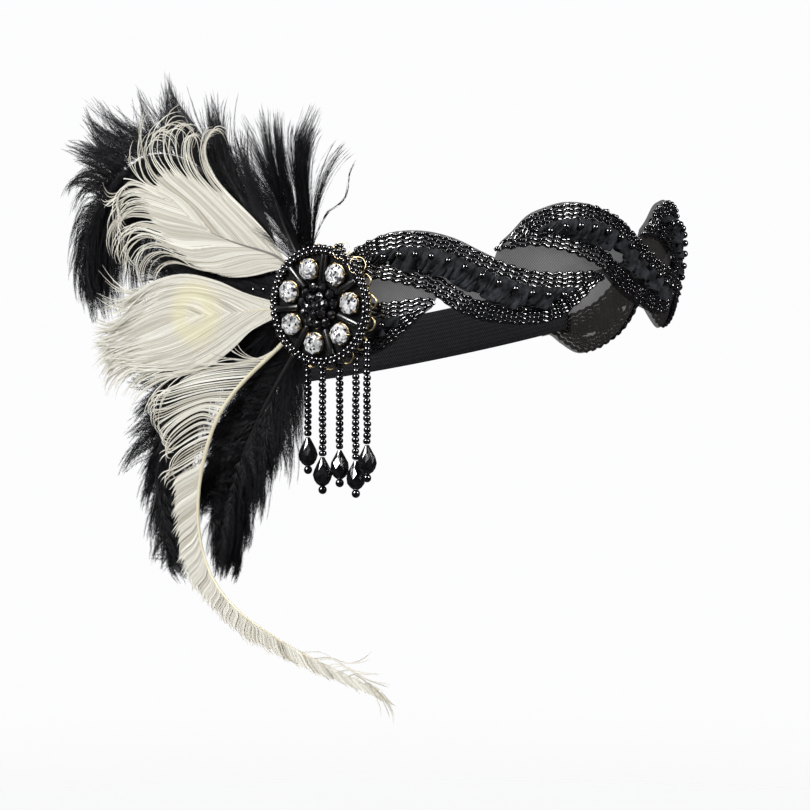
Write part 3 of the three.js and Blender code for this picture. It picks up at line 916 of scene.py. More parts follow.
def bugle(bm, radius, aside):
    place = Matrix.Translation(((bugle_from + bugle_to) / 2, aside, seat + bugle_radius))
    lying = place @ Matrix.Rotation(math.pi / 2, 4, "Y")
    rod(bm, radius, bugle_to - bugle_from, lying, bugle_sides, 0.3 * radius, 3)


for number in range(stone_count):
    bm = bmesh.new()
    if number == paired_bugle:
        bugle(bm, 0.6 * bugle_radius, 0.66 * bugle_radius)
        bugle(bm, 0.6 * bugle_radius, -0.66 * bugle_radius)
    else:
        bugle(bm, bugle_radius, 0)
    turn = Matrix.Rotation(stone_turn + (number + 0.5) / stone_count * math.tau, 4, "Z")
    mesh = to_mesh(f"bugle_{number + 1}", bm, medallion @ turn, smooth=True)
    add_piece(mesh, satin, "black_beads", f"bugle_bead_{number + 1}")

# Centre beads
# A raised mound of black fire-polished beads, whose flat facets catch the windows one by one.
centre_bead_radius = 1.75 * mm
mound = [
    # beads, radius of their ring, height over the seat
    (1, 0, 3.3 * mm),
    (6, 3.1 * mm, 2.7 * mm),
    (11, 6.0 * mm, 1.6 * mm),
]
jet = Finish("cut_jet", Specular_IOR_Level=1.0, Coat_Weight=0.4, Coat_Roughness=0.1)
jet.set(
    Base_Color=jet.blend(
        jet.grain(600, 1).ease(0.4, 0.65), (0.002, 0.002, 0.003), (0.009, 0.008, 0.011)
    ),
    Roughness=jet.grain(400, 1).ease(0.3, 0.7, 0.1, 0.24),
)

seed = bmesh.new()
bmesh.ops.create_icosphere(seed, subdivisions=2, radius=centre_bead_radius)
bmesh.ops.dissolve_limit(
    seed, angle_limit=math.radians(19), verts=seed.verts, edges=seed.edges
)
places = []
for count, radius, height in mound:
    for number in range(count):
        angle = number / count * math.tau + 0.4 * radius / mm
        spot = around(radius, angle, seat + height)
        turn = Matrix.Rotation(random.uniform(0, 6), 4, Vector((
            random.uniform(-1, 1), random.uniform(-1, 1), 1
        )))
        places.append(medallion @ Matrix.Translation(spot) @ turn)
bead_piece("centre_beads", seed, places, jet, "centre_cluster", smooth=False)

# Hanging strings and drops
# Five threads of round black beads hang from the lower rim. Each ends in a pear-shaped cut
# drop, whose thread comes back up through one last round bead.
strings = [
    # place on the rim in degrees, beads, distance out from the middle of the plate
    (-108, 12, 0),
    (-89, 15, 1 * mm),
    (-72, 14, -0.4 * mm),
    (-53, 17, -1.2 * mm),
    (-24, 17, 1.4 * mm),
]
rim_outside = 19.8 * mm
plate_reach = 21 * mm
string_bead_radius = 1.27 * mm
string_pitch = 1.85 * mm
drop_radius = 3.2 * mm
drop_height = 9.5 * mm
end_bead_radius = 1.4 * mm
clearance = 0.3 * mm
drop_rings = [
    # radius, height, turn in sides
    (0.2, 0.0, 0),
    (0.55, -0.22, 0.5),
    (0.87, -0.42, 0),
    (1, -0.6, 0.5),
    (0.88, -0.78, 0),
    (0.6, -0.91, 0.5),
    (0.25, -0.99, 0),
]

for number, (rim_degrees, beads, out) in enumerate(strings, 1):
    x = rim_outside * math.cos(math.radians(rim_degrees))
    top = -math.sqrt(plate_reach**2 - max(abs(x) - string_bead_radius, 0) ** 2)
    middle = (plate_back + plate_front) / 2 + out
    places = []
    for bead in range(-1, beads):
        wide = random.uniform(0.93, 1.04) * string_bead_radius
        sway = Vector((random.uniform(-0.12, 0.12), 0, random.uniform(-0.12, 0.12))) * mm
        spot = Vector((x, top - (bead + 0.5) * string_pitch, middle)) + sway
        places.append(
            medallion @ Matrix.Translation(spot) @ Matrix.Rotation(math.pi / 2, 4, "X")
            @ Matrix.Rotation(random.uniform(-0.1, 0.1), 4, "Y")
            @ Matrix.Diagonal((wide, wide, 0.51 * string_pitch, 1))
        )
    string = f"bead_string_{number}"
    bead_piece(f"string_beads_{number}", barrel_bead(14, 10, 0.45), places, glass, string)
    drop = cut_glass(drop_rings, drop_radius, drop_height, level=3)
    turn = Matrix.Rotation(random.uniform(0, 1), 4, "Z")
    bmesh.ops.transform(drop, matrix=turn, verts=drop.verts)
    end = bmesh.ops.create_uvsphere(
        drop, u_segments=16, v_segments=10, radius=end_bead_radius,
        matrix=Matrix.Translation((0, 0, -drop_height - 0.8 * end_bead_radius)),
    )["verts"]
    for face in {face for vert in end for face in vert.link_faces}:
        face.smooth = True
    lowest = Matrix.Translation((x, top - beads * string_pitch - clearance, middle))
    hang = medallion @ lowest @ Matrix.Rotation(-math.pi / 2, 4, "X")
    add_piece(to_mesh(f"cut_drop_{number}", drop, hang), jet, "black_beads", f"drop_{number}")

# Ostrich plumes
# Four short black plumes behind the medallion. Each has a curved quill whose long soft barbs
# run forward in pointed locks, and every barb is feathered on both sides with fine down.
fan_angle = math.radians(10)
fan_turn = Matrix.Rotation(-fan_angle, 3, "Z")
fan_back = numpy.array(fan_turn @ -medallion_front)
fan_out = numpy.array(fan_turn @ medallion_out)
fan_up = numpy.array((0, 0, 1))
fan_standoff = 6.4 * mm
fan_origin = numpy.array(medallion.translation + medallion_out * fan_standoff)
root_radius = 9 * mm
spread_distance = 38 * mm
lower_tier = (4.5 * mm, 0.35 * mm)
upper_tier = (5.5 * mm, 1.75 * mm)
quill_steps = 80
shaft_steps = 36
guide_steps = 48


def fan_points(line, lift):
    """Places in the fan's plane, back from the medallion and up, as complex numbers."""
    return fan_origin + numpy.outer(line.real, fan_back) + numpy.outer(
        line.imag, fan_up) + numpy.outer(lift, fan_out)


def ease(x):
    x = numpy.clip(x, 0, 1)
    return x * x * (3 - 2 * x)


class Quill:
    """A quill's line in the plane of the fan, from a table of its headings down its length."""

    def __init__(self, root, length, lift, tier, headings):
        self.lift = lift
        self.tier = tier
        angles = [
            math.radians(smooth_row(headings, step / quill_steps)[0])
            for step in range(quill_steps)
        ]
        strides = numpy.exp(1j * numpy.array(angles)) * length / quill_steps
        start = root_radius * numpy.exp(1j * math.radians(root))
        self.line = numpy.concatenate([[start], start + numpy.cumsum(strides)])

    def at(self, share):
        return numpy.interp(share * quill_steps, range(quill_steps + 1), self.line)

    def spread(self, line):
        return ease((abs(line) - plate_reach) / spread_distance)

    def level(self, line):
        """How far out the fan lies there: tucked in behind the plate, and free beyond it."""
        root_level, rim_lift = self.tier
        slope = line.real * math.sin(fan_angle)
        behind = numpy.minimum(root_level - fan_standoff + slope, rim_lift)
        return behind + (self.lift - behind) * self.spread(line)


class Guides:
    """Drawn barbs, in order along one side of a quill, and any barb in between them.
    Each has its root's share of the quill and its further places, back and up, in mm."""

    def __init__(self, quill, table):
        self.quill = quill
        self.roots = [root for root, *_ in table]
        self.drawn = []
        for root, *spots in table:
            line = [quill.at(root)] + [complex(*spot) * mm for spot in spots]
            rows = [(i / (len(line) - 1), spot.real, spot.imag) for i, spot in enumerate(line)]
            self.drawn.append([
                complex(*smooth_row(rows, step / guide_steps)) for step in range(guide_steps + 1)
            ])
        self.drawn = numpy.array(self.drawn)

    def barb(self, place, steps, drift=0, long=1):
        """The barb at that place among the drawn ones, whose root lies drift further on."""
        x = numpy.linspace(0, 1, steps + 1)
        last = len(self.roots) - 1
        t = numpy.clip(place * last + drift * (1 - x), 0, last - 1e-6)
        low = t.astype(int)
        at = numpy.minimum(x * long, 1) * (guide_steps - 1e-6)
        step = at.astype(int)
        part = at - step
        near, far = (
            self.drawn[row, step] * (1 - part) + self.drawn[row, step + 1] * part
            for row in (low, low + 1)
        )
        line = near + (far - near) * (t - low)
        root = self.quill.at(numpy.interp(t[0], range(last + 1), self.roots))
        return line + (root - line[0]) * (1 - x) ** 2


def ribbon_seed(steps):
    """A flat strand of half width 1 along y from 0 to 1."""
    bm = bmesh.new()
    grid = bmesh.ops.create_grid(bm, x_segments=1, y_segments=steps, size=0.5)["verts"]
    for vert in grid:
        vert.co = Vector((2 * vert.co.x, vert.co.y + 0.5, 0))
    return bm


def bend(lines, widths, turns, seed):
    """The places of a seed's vertices on each line: x goes across it, y along and z out.
    Each turn rolls a copy round its line."""
    lines = numpy.array(lines)
    steps = lines.shape[1] - 1
    way = numpy.gradient(lines, axis=1)
    way /= numpy.linalg.norm(way, axis=2, keepdims=True) + 1e-12
    across = numpy.cross(way, fan_out)
    across /= numpy.linalg.norm(across, axis=2, keepdims=True) + 1e-12
    out = numpy.cross(across, way)
    roll = numpy.reshape(turns, (-1, 1, 1))
    side = across * numpy.cos(roll) + out * numpy.sin(roll)
    face = out * numpy.cos(roll) - across * numpy.sin(roll)
    wide = numpy.array(widths)[..., None]
    x, y, z = numpy.array([vert.co for vert in seed.verts]).T
    low = numpy.minimum((y * steps).astype(int), steps - 1)
    part = (y * steps - low)[:, None]

    def along(values):
        return values[:, low] * (1 - part) + values[:, low + 1] * part

    return along(lines) + along(side * wide) * x[:, None] + along(face * wide) * z[:, None]


def quill_shaft(name, quill, radius, finish, slot, until=0.985):
    """The quill itself, a round rod that thins to its tip."""
    bm = bmesh.new()
    line = quill.at(numpy.linspace(0, until, shaft_steps + 1))
    spots = fan_points(line, quill.level(line))
    ways = numpy.gradient(line)
    ring_before = None
    for step in range(shaft_steps + 1):
        way = Vector(fan_back * ways[step].real + fan_up * ways[step].imag).normalized()
        out = Vector(fan_out)
        turned = Matrix((out.cross(way), out, way)).transposed().to_4x4()
        circle = bmesh.ops.create_circle(
            bm, segments=8, radius=radius * (1 - 0.82 * (step / shaft_steps) ** 1.3),
            matrix=Matrix.Translation(spots[step]) @ turned,
        )["verts"]
        edges = list({edge for vert in circle for edge in vert.link_edges})
        if ring_before:
            bmesh.ops.bridge_loops(bm, edges=ring_before + edges)
        else:
            bmesh.ops.contextual_create(bm, geom=edges)
        ring_before = edges
    bmesh.ops.contextual_create(bm, geom=ring_before)
    bmesh.ops.recalc_face_normals(bm, faces=bm.faces)
    add_piece(to_mesh(name, bm, smooth=True), finish, slot)


down = Finish("black_down", Roughness=0.6, Specular_IOR_Level=0.12)
down.set(
    Base_Color=down.blend(
        down.along(0) * 0.7 + down.grain(120) * 0.4, (0.002, 0.002, 0.003), (0.02, 0.02, 0.024)
    ),
    Roughness=down.grain(300).ease(0.3, 0.7, 0.5, 0.7),
)

downy_pairs = 22
downy = ribbon_seed(8)
for vert in downy.verts:
    vert.co.x *= 0.07
for pair in range(downy_pairs):
    base = 0.03 + 0.93 * pair / downy_pairs
    for side in (1, -1):
        stand = 0.45 if (pair + side) % 3 else -0.5
        corners = [(0, base, 0), (0, base + 0.022, 0), (side, base + 0.1, stand)]
        downy.faces.new([downy.verts.new((x, min(y, 1), z)) for x, y, z in corners])
plume_steps = 10


def plume(name, node, quill, thickness, *sides):
    """Barbs that gather into pointed locks along each side's guides."""
    lines, widths, turns, shades = [], [], [], []
    x = numpy.linspace(0, 1, plume_steps + 1)
    for table, locks, barbs, down_width, gather in sides:
        guides = Guides(quill, table)
        for lock in range(locks):
            place = (lock + random.uniform(0, 1)) / locks
            long = random.uniform(0.8, 1.08)
            level = random.uniform(-0.5, 0.5) * thickness
            sway = random.gauss(0, 0.13)
            for _ in range(barbs):
                short = long * random.uniform(0.45, 1) ** 0.5
                drift = random.gauss(0, gather)
                line = guides.barb(place, plume_steps, drift, short)
                bow = numpy.exp(1j * (sway + random.gauss(0, 0.04)) * x)
                line = line[0] + (line - line[0]) * bow
                spread = quill.spread(line)
                top = level + random.gauss(0, 0.12) * thickness
                lift = quill.level(line) + top * numpy.sin(0.62 * math.pi * x**0.7) * spread
                lines.append(fan_points(line, lift))
                far = abs(line[-1] - line[0])
                wide = min(0.1 * far + 0.9 * mm, down_width) * (0.5 + 0.5 * spread)
                widths.append(wide * (0.35 + 0.65 * ease(3 * x)) * (1 - 0.85 * x**1.6))
                turns.append(random.uniform(-1.2, 1.2))
                shades.append(random.random())
    mesh = join_copies(name, downy, bend(lines, widths, turns, downy), shades)
    add_piece(mesh, down, "black_feather", node)


random.seed(23)
back_quill = Quill(32, 140 * mm, -5 * mm, lower_tier, [
    # along, heading in degrees
    (0, 27),
    (0.12, 36),
    (0.22, 41),
    (0.4, 31),
    (0.55, 16),
    (0.68, -14),
    (0.8, -48),
    (0.9, -74),
    (1, -86),
])
back_outside = [
    # root along the quill, then places back and up in mm
    (0.08, (25, 22), (33, 33), (39, 43), (43, 50)),
    (0.18, (36, 32), (43, 44), (46, 55), (45, 64)),
    (0.28, (47, 41), (53, 52), (56, 61), (57, 70)),
    (0.38, (58, 48), (62, 56), (65, 63), (67, 72)),
    (0.48, (70, 53), (76, 59), (80, 65), (82, 73)),
    (0.58, (84, 55), (90, 60), (95, 66), (99, 73)),
    (0.66, (95, 54), (102, 58), (108, 63), (115, 69)),
    (0.74, (105, 49), (112, 52), (118, 57), (125, 63)),
    (0.8, (110, 44), (117, 47), (123, 49), (129, 50)),
    (0.86, (114, 38), (121, 39), (126, 37), (131, 31)),
    (0.91, (117, 30), (122, 28), (126, 23), (129, 15)),
    (0.96, (118, 21), (122, 16), (125, 9), (126, 1)),
    (1, (119, 11), (121, 4), (122, -3), (121, -9)),
]
back_inside = [
    # root along the quill, then places back and up in mm
    (0.1, (31, 12), (43, 9), (57, 3)),
    (0.2, (42, 22), (55, 16), (69, 4)),
    (0.3, (53, 31), (67, 23), (79, 6)),
    (0.4, (64, 37), (78, 27), (87, 6)),
    (0.5, (77, 40), (89, 27), (95, 4)),
    (0.58, (87, 41), (97, 26), (101, 1)),
    (0.65, (95, 39), (104, 23), (106, -2)),
    (0.72, (101, 36), (108, 19), (110, -5)),
    (0.8, (108, 30), (113, 13), (112, -8)),
    (0.9, (114, 20), (117, 6), (115, -9)),
    (1, (116, 8), (118, -1), (117, -10)),
]
plume(
    "ostrich_back", "plume_back", back_quill, 12 * mm,
    # guides, locks, barbs in each, width of their down, how far apart their roots lie
    (back_outside, 36, 28, 1.2 * mm, 0.5),
    (back_inside, 80, 18, 2 * mm, 0.6),
)
top_quill = Quill(62, 44 * mm, 9.6 * mm, upper_tier, [
    # along, heading in degrees
    (0, 38),
    (0.22, 58),
    (0.42, 70),
    (0.65, 84),
    (0.85, 100),
    (1, 108),
])
top_front = [
    # root along the quill, then places back and up in mm
    (0.04, (5, 20), (3, 29), (-3, 38), (-11, 46), (-20, 53)),
    (0.1, (5, 24), (2, 36), (-4, 46), (-12, 53), (-22, 57)),
    (0.2, (7, 27), (4, 39), (-1, 50), (-6, 56), (-11, 62)),
    (0.3, (9, 29), (7, 42), (4, 52), (0, 60), (-5, 66)),
    (0.45, (11, 33), (10, 44), (9, 54), (9, 63)),
    (0.6, (14, 38), (12, 48), (12, 58), (13, 68)),
]
top_rear = [
    # root along the quill, then places back and up in mm
    (0, (10, 13), (17, 19), (25, 25), (35, 33)),
    (0.05, (10, 16), (17, 24), (25, 33), (34, 43)),
    (0.13, (11, 20), (17, 30), (23, 40), (30, 49)),
    (0.23, (13, 25), (18, 37), (23, 48), (30, 58)),
    (0.36, (15, 31), (17, 43), (20, 54), (25, 63)),
    (0.6, (15, 38), (15, 48), (17, 58), (19, 67)),
]
plume(
    "ostrich_top", "plume_top", top_quill, 5 * mm,
    # guides, locks, barbs in each, width of their down, how far apart their roots lie
    (top_front, 10, 40, 0.8 * mm, 0.5),
    (top_rear, 15, 36, 0.9 * mm, 0.6),
)
side_quill = Quill(-12, 128 * mm, -2.6 * mm, lower_tier, [
    # along, heading in degrees
    (0, -8),
    (0.13, -15),
    (0.35, -27),
    (0.57, -54),
    (0.77, -89),
    (0.92, -112),
    (1, -118),
])
side_outside = [
    # root along the quill, then places back and up in mm
    (0.1, (33, -6), (43, -7), (53, -7)),
    (0.28, (54, -15), (65, -18), (76, -19)),
    (0.42, (70, -24), (82, -27), (92, -30)),
    (0.53, (79, -33), (88, -37), (96, -42)),
    (0.64, (85, -46), (92, -51), (98, -58)),
    (0.75, (87, -59), (93, -65), (97, -73)),
    (0.86, (84, -72), (88, -78), (91, -86)),
    (1, (77, -87), (80, -92), (81, -98)),
]
side_inside = [
    # root along the quill, then places back and up in mm
    (0.01, (17, -6), (28, -10), (40, -14)),
    (0.08, (28, -11), (36, -17), (42, -25)),
    (0.28, (51, -19), (57, -29), (61, -39)),
    (0.45, (65, -33), (68, -44), (68, -55)),
    (0.6, (75, -48), (74, -59), (71, -70)),
    (0.78, (78, -68), (75, -77), (70, -86)),
    (1, (72, -90), (70, -94), (67, -99)),
]
side_between = [
    # root along the quill, then places back and up in mm, between the two eye feathers
    (0, (14, 4), (34, 12), (60, 20), (88, 25)),
    (0.05, (22, 1), (44, 8), (70, 15), (97, 18)),
    (0.16, (36, -3), (58, 2), (80, 7), (98, 10)),
]
plume(
    "ostrich_side", "plume_side", side_quill, 9 * mm,
    # guides, locks, barbs in each, width of their down, how far apart their roots lie
    (side_outside, 26, 28, 1.5 * mm, 0.5),
    (side_inside, 60, 20, 1.8 * mm, 0.5),
    (side_between, 24, 26, 2.2 * mm, 0.35),
)
low_quill = Quill(-52, 98 * mm, -0.4 * mm, lower_tier, [
    # along, heading in degrees
    (0, -49),
    (0.12, -50),
    (0.34, -53),
    (0.6, -64),
    (0.82, -86),
    (1, -96),
])
low_rear = [
    # root along the quill, then places back and up in mm
    (0.08, (20, -16), (31, -20), (42, -28)),
    (0.28, (34, -30), (46, -37), (56, -47)),
    (0.5, (45, -47), (55, -55), (61, -66)),
    (0.72, (50, -65), (56, -71), (60, -80)),
    (0.9, (47, -84), (50, -89), (51, -95)),
]
low_front = [
    # root along the quill, then places back and up in mm
    (0.04, (9, -17), (8, -26), (10, -36)),
    (0.2, (18, -32), (17, -42), (20, -53)),
    (0.38, (27, -46), (27, -57), (31, -69)),
    (0.58, (37, -61), (37, -71), (40, -81)),
    (0.8, (43, -78), (43, -84), (46, -90)),
    (0.9, (45, -86), (46, -91), (48, -96)),
]
plume(
    "ostrich_low", "plume_low", low_quill, 9 * mm,
    # guides, locks, barbs in each, width of their down, how far apart their roots lie
    (low_rear, 46, 22, 1.9 * mm, 0.6),
    (low_front, 42, 20, 1.7 * mm, 0.45),
)
shaft = Finish("dark_quill", Roughness=0.4, Specular_IOR_Level=0.5)
shaft.set(Base_Color=shaft.blend(shaft.grain(200), (0.006, 0.006, 0.006), (0.03, 0.028, 0.026)))
quill_shaft("back_shaft", back_quill, 0.9 * mm, shaft, "black_feather")
quill_shaft("top_shaft", top_quill, 0.8 * mm, shaft, "black_feather")
quill_shaft("side_shaft", side_quill, 0.9 * mm, shaft, "black_feather")
quill_shaft("low_shaft", low_quill, 0.9 * mm, shaft, "black_feather", until=0.88)

# One thin kinked wisp of the top plume strays over the front of the medallion.
wisp = [
    # share of its length, back and up in mm
    (0, 5.5, 10),
    (0.25, 4.5, 21),
    (0.38, 1.3, 26),
    (0.46, -1.5, 30),
    (0.62, -9, 33),
    (0.74, -14, 37),
    (0.85, -17, 42),
    (1, -23, 47),
]
wisp_width = 0.8 * mm
x = numpy.linspace(0, 1, 2 * plume_steps + 1)
line = numpy.array([complex(*smooth_row(wisp, share)) * mm for share in x])
places = [fan_points(line, top_quill.level(line) + rise * mm) for rise in (0, 0.3)]
spots = bend(places, [wisp_width * (1 - 0.7 * x)] * 2, [0, 1.6], downy)
add_piece(join_copies("top_wisp", downy, spots, [0.2, 0.4]), down, "black_feather")

# Eye feathers
# Two bleached eye feathers. Their flat silky barbs lie so close beside the quill that they make
# one smooth cream vane, with a faint yellow eye, and then part into loose curling ends.
cream = Finish("cream_barbs", Roughness=0.5, Specular_IOR_Level=0.12)
eye_place = complex(54, -4) * mm
eye_lift = 7 * mm
eye_centre = fan_points(numpy.array([eye_place]), [eye_lift])[0]
from_eye = cream.node(
    "ShaderNodeVectorMath", {"operation": "DISTANCE"}, cream.place(), tuple(eye_centre), output=1
)
yolk = from_eye.ease(2 * mm, 6 * mm, 0.15, 0.5) * from_eye.ease(7 * mm, 14 * mm, 1, 0)
plain_cream = cream.blend(cream.along(0), (0.5, 0.46, 0.37), (0.96, 0.94, 0.85))
cream.set(
    Base_Color=cream.blend(yolk, plain_cream, (0.9, 0.84, 0.5)),
    Roughness=cream.grain(400).ease(0.3, 0.7, 0.42, 0.58),
)
strand_steps = 24
flat_barb = ribbon_seed(strand_steps)


def strands(guides, count, loose_from, free_share, wild, lock, wide, thin):
    """Barbs side by side along the guides. Most end at loose_from. A share of them, in locks
    of a few, runs on thin and free, and turns away from its guide by up to wild radians."""
    x = numpy.linspace(0, 1, strand_steps + 1)
    made = []
    for number in range(count):
        if number % lock == 0:
            swing = random.gauss(0, 0.5) * wild
            long = random.uniform(0.88, 1)
        place = (number + random.random()) / count
        if random.random() < free_share:
            reach = long * random.uniform(0.9, 1)
        else:
            reach = loose_from * random.uniform(0.94, 1.12)
        line = guides.barb(place, strand_steps, 0, reach)
        free = ease((x * reach - loose_from) / (1 - loose_from))
        turn = (swing + random.gauss(0, 0.3) * wild) * free
        stride = numpy.diff(line) * numpy.exp(1j * turn[1:])
        line = numpy.concatenate([line[:1], line[0] + numpy.cumsum(stride)])
        spread = guides.quill.spread(line)
        rise = random.uniform(-0.3, 0.3) * mm + random.uniform(-1.5, 2.5) * mm * free
        narrow = ease((x * reach - 0.9 * loose_from) / (0.25 * loose_from))
        width = (wide + (thin - wide) * narrow) * (1 - 0.8 * ease((x - 0.85) / 0.15))
        made.append((
            fan_points(line, guides.quill.level(line) + rise * spread),
            width * (0.3 + 0.7 * spread), random.uniform(-0.3, 0.3), random.random() ** 0.7,
        ))
    return made


def barb_piece(name, node, quill, *sides):
    made = [barb for table, *ways in sides for barb in strands(Guides(quill, table), *ways)]
    lines, widths, turns, shades = zip(*made)
    mesh = join_copies(name, flat_barb, bend(lines, widths, turns, flat_barb), shades)
    add_piece(mesh, cream, "cream_feather", node)


random.seed(31)
upper_quill = Quill(30, 68 * mm, 5.4 * mm, upper_tier, [
    # along, heading in degrees
    (0, 52),
    (0.14, 42),
    (0.28, 15),
    (0.45, 13),
    (0.62, 20),
    (0.78, 29),
    (1, 31),
])
upper_above = [
    # root along the quill, then places back and up in mm
    (0.1, (22, 21), (31, 29), (40, 36), (48, 44), (50, 52), (44, 58), (37, 54), (38, 47)),
    (0.24, (30, 24), (40, 33), (49, 40), (54, 48), (52, 55), (47, 60)),
    (0.36, (38, 26), (49, 34), (60, 41), (66, 48), (65, 56), (58, 58), (53, 52), (57, 47)),
    (0.5, (48, 29), (59, 36), (69, 42), (76, 49), (74, 56), (66, 58), (59, 54), (60, 48)),
    (0.64, (57, 32), (67, 37), (75, 42), (79, 50), (76, 57), (68, 59), (61, 56)),
    (0.78, (64, 33), (72, 36), (80, 40), (84, 47), (84, 54), (81, 60)),
    (0.9, (68, 34), (77, 37), (86, 39), (92, 35), (92, 28), (86, 23)),
    (0.98, (74, 35), (83, 38), (91, 37), (95, 31), (92, 24), (85, 20)),
]
upper_below = [
    # root along the quill, then places back and up in mm
    (0.06, (18, 11), (30, 9), (42, 8), (54, 9), (63, 10), (70, 8), (73, 3)),
    (0.22, (31, 14), (44, 11), (56, 11), (67, 14), (76, 13), (81, 7), (79, 1)),
    (0.36, (41, 17), (54, 15), (66, 17), (77, 19), (85, 15), (87, 8), (83, 4)),
    (0.5, (50, 20), (62, 20), (73, 22), (83, 23), (90, 18), (90, 11), (84, 9)),
    (0.64, (57, 24), (68, 25), (79, 27), (88, 26), (94, 21), (93, 14), (87, 12)),
    (0.78, (64, 28), (74, 30), (84, 31), (92, 28), (95, 22), (92, 16)),
    (0.9, (69, 32), (79, 34), (88, 34), (95, 30), (96, 24), (92, 19)),
    (1, (75, 35), (84, 37), (92, 35), (99, 33), (106, 37)),
]
barb_piece(
    "eye_barbs_upper", "eye_feather_upper", upper_quill,
    # guides, barbs, loose from, free share, wild, barbs in a lock, width, width of the ends
    (upper_above, 250, 0.37, 0.26, 1.1, 7, 0.42 * mm, 0.17 * mm),
    (upper_below, 270, 0.38, 0.27, 1.1, 6, 0.42 * mm, 0.17 * mm),
)
lower_quill = Quill(-4, 88 * mm, 7.2 * mm, upper_tier, [
    # along, heading in degrees
    (0, -4),
    (0.16, -6),
    (0.38, -5),
    (0.6, -3),
    (0.83, -5),
    (1, -9),
])
lower_above = [
    # root along the quill, then places back and up in mm
    (0.04, (24, 1), (34, 3), (44, 6.5), (56, 8.5), (68, 7.5), (80, 3.5), (91, -1.5), (103, -4.5)),
    (0.14, (32, 1), (43, 4.5), (55, 6.5), (67, 5.5), (79, 1.5), (91, -3.5), (105, -7)),
    (0.26, (42, 1.5), (54, 3.5), (66, 2), (78, -2), (91, -6.5), (106, -9)),
    (0.38, (51, 0), (61, 0.5), (73, -2.5), (85, -7), (97, -10.5), (108, -12)),
    (0.5, (61, -3), (73, -5), (85, -9.5), (97, -13), (107, -14)),
    (0.6, (71, -7), (84, -11.5), (96, -15.5), (106, -16)),
]
lower_below = [
    # root along the quill, then places back and up in mm
    (0.04, (22, -5), (31, -9), (38, -15), (47, -21), (58, -24.5), (70, -26), (81, -29), (88, -34)),
    (0.14, (31, -7), (40, -13), (50, -18.5), (62, -22), (75, -24), (87, -27), (95, -33)),
    (0.24, (40, -8), (50, -14), (62, -18.5), (76, -21), (89, -23.5), (98, -28), (101, -34)),
    (0.34, (48, -8.5), (60, -14), (74, -17.5), (88, -20), (98, -23), (103, -28)),
    (0.44, (57, -8.5), (70, -13), (84, -16), (97, -18.5), (105, -21)),
    (0.6, (71, -7.2), (84, -11.7), (96, -15.8), (107, -18)),
]
barb_piece(
    "eye_barbs_lower", "eye_feather_lower", lower_quill,
    # guides, barbs, loose from, free share, wild, barbs in a lock, width, width of the ends
    (lower_above, 270, 0.56, 0.55, 0.6, 7, 0.46 * mm, 0.2 * mm),
    (lower_below, 290, 0.52, 0.5, 0.7, 7, 0.46 * mm, 0.2 * mm),
)
grey_quill = Finish("grey_quill", Roughness=0.4)
grey_quill.set(Base_Color=grey_quill.blend(
    grey_quill.grain(150), (0.12, 0.11, 0.1), (0.32, 0.3, 0.26)
))
quill_shaft("upper_shaft", upper_quill, 0.5 * mm, grey_quill, "cream_feather")
ivory = Finish("ivory_quill", Roughness=0.35)
ivory.set(Base_Color=ivory.blend(ivory.grain(150), (0.78, 0.7, 0.46), (0.94, 0.89, 0.7)))
quill_shaft("lower_shaft", lower_quill, 0.45 * mm, ivory, "cream_feather", until=0.3)

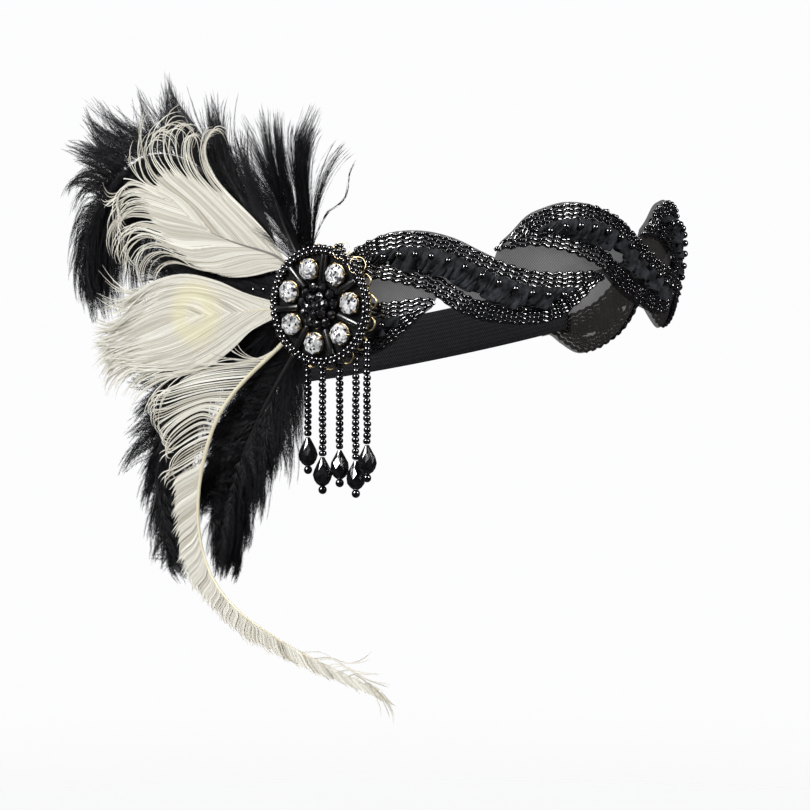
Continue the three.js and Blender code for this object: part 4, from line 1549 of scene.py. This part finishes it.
# Sword feather
# The long ivory feather in front. It has barbs on its hollow side only: long loose ones near
# the medallion, some of them curled back, and short close ones down to the wispy tip.
sword_quill = Quill(-34, 188 * mm, 9 * mm, upper_tier, [
    # along, heading in degrees
    (0, -38),
    (0.08, -39),
    (0.14, -44),
    (0.23, -57),
    (0.36, -77),
    (0.47, -102),
    (0.53, -123),
    (0.6, -145),
    (0.67, -157),
    (0.8, -163),
    (1, -163),
])
sword_loose = [
    # root along the quill, then places back and up in mm
    (0.05, (24, -17.5), (33, -17), (41, -12)),
    (0.09, (31, -19), (42, -19), (53, -22)),
    (0.13, (36, -21), (47, -23), (58, -26.5), (68, -30.5), (74, -35)),
    (0.17, (42, -27), (54, -29), (65, -31.5), (73, -33), (74, -37), (68, -39)),
    (0.21, (46, -32), (57, -35), (66, -38.5), (71, -41), (68, -44), (62, -43)),
    (0.25, (49, -36.5), (58, -40), (65, -45), (66.5, -49), (62, -50.5), (56, -48)),
    (0.29, (50, -46), (59, -50), (66, -54), (68.5, -60)),
    (0.34, (51, -54), (60, -58.5), (65.5, -61), (67, -64)),
]
sword_close = [
    # root along the quill, then places back and up in mm
    (0.34, (51, -55), (60, -59), (66, -64)),
    (0.4, (53, -66), (60, -70), (63, -75)),
    (0.46, (53, -79), (58.5, -83), (60, -88)),
    (0.51, (50, -88.5), (54, -92), (54, -96)),
    (0.57, (41, -96), (44, -100), (43, -104)),
    (0.64, (29, -104), (30, -108), (26, -112)),
    (0.72, (14, -109), (12, -113), (6, -117)),
    (0.82, (-3, -114), (-7, -118), (-14, -121)),
    (0.92, (-20, -118), (-25, -121), (-31, -123.5)),
    (1, (-35, -122), (-38, -124), (-42, -126)),
]
sword_tip = [
    # root along the quill, then places back and up in mm
    (0.8, (-7, -111), (-16, -113), (-25, -112), (-33, -109)),
    (0.88, (-18, -115), (-26, -117), (-33, -117), (-39, -116)),
    (0.94, (-26, -118), (-32, -121), (-37, -125), (-39, -130)),
    (1, (-34, -121), (-37, -125), (-39, -129), (-39, -133)),
]
random.seed(43)
barb_piece(
    "sword_barbs", "sword_feather", sword_quill,
    # guides, barbs, loose from, free share, wild, barbs in a lock, width, width of the ends
    (sword_loose, 62, 0.4, 0.9, 0.8, 4, 0.26 * mm, 0.19 * mm),
    (sword_close, 400, 0.7, 0.5, 0.25, 9, 0.42 * mm, 0.2 * mm),
    (sword_tip, 14, 0.1, 1, 0.5, 1, 0.22 * mm, 0.18 * mm),
)
quill_shaft("sword_shaft", sword_quill, 0.75 * mm, ivory, "cream_feather")
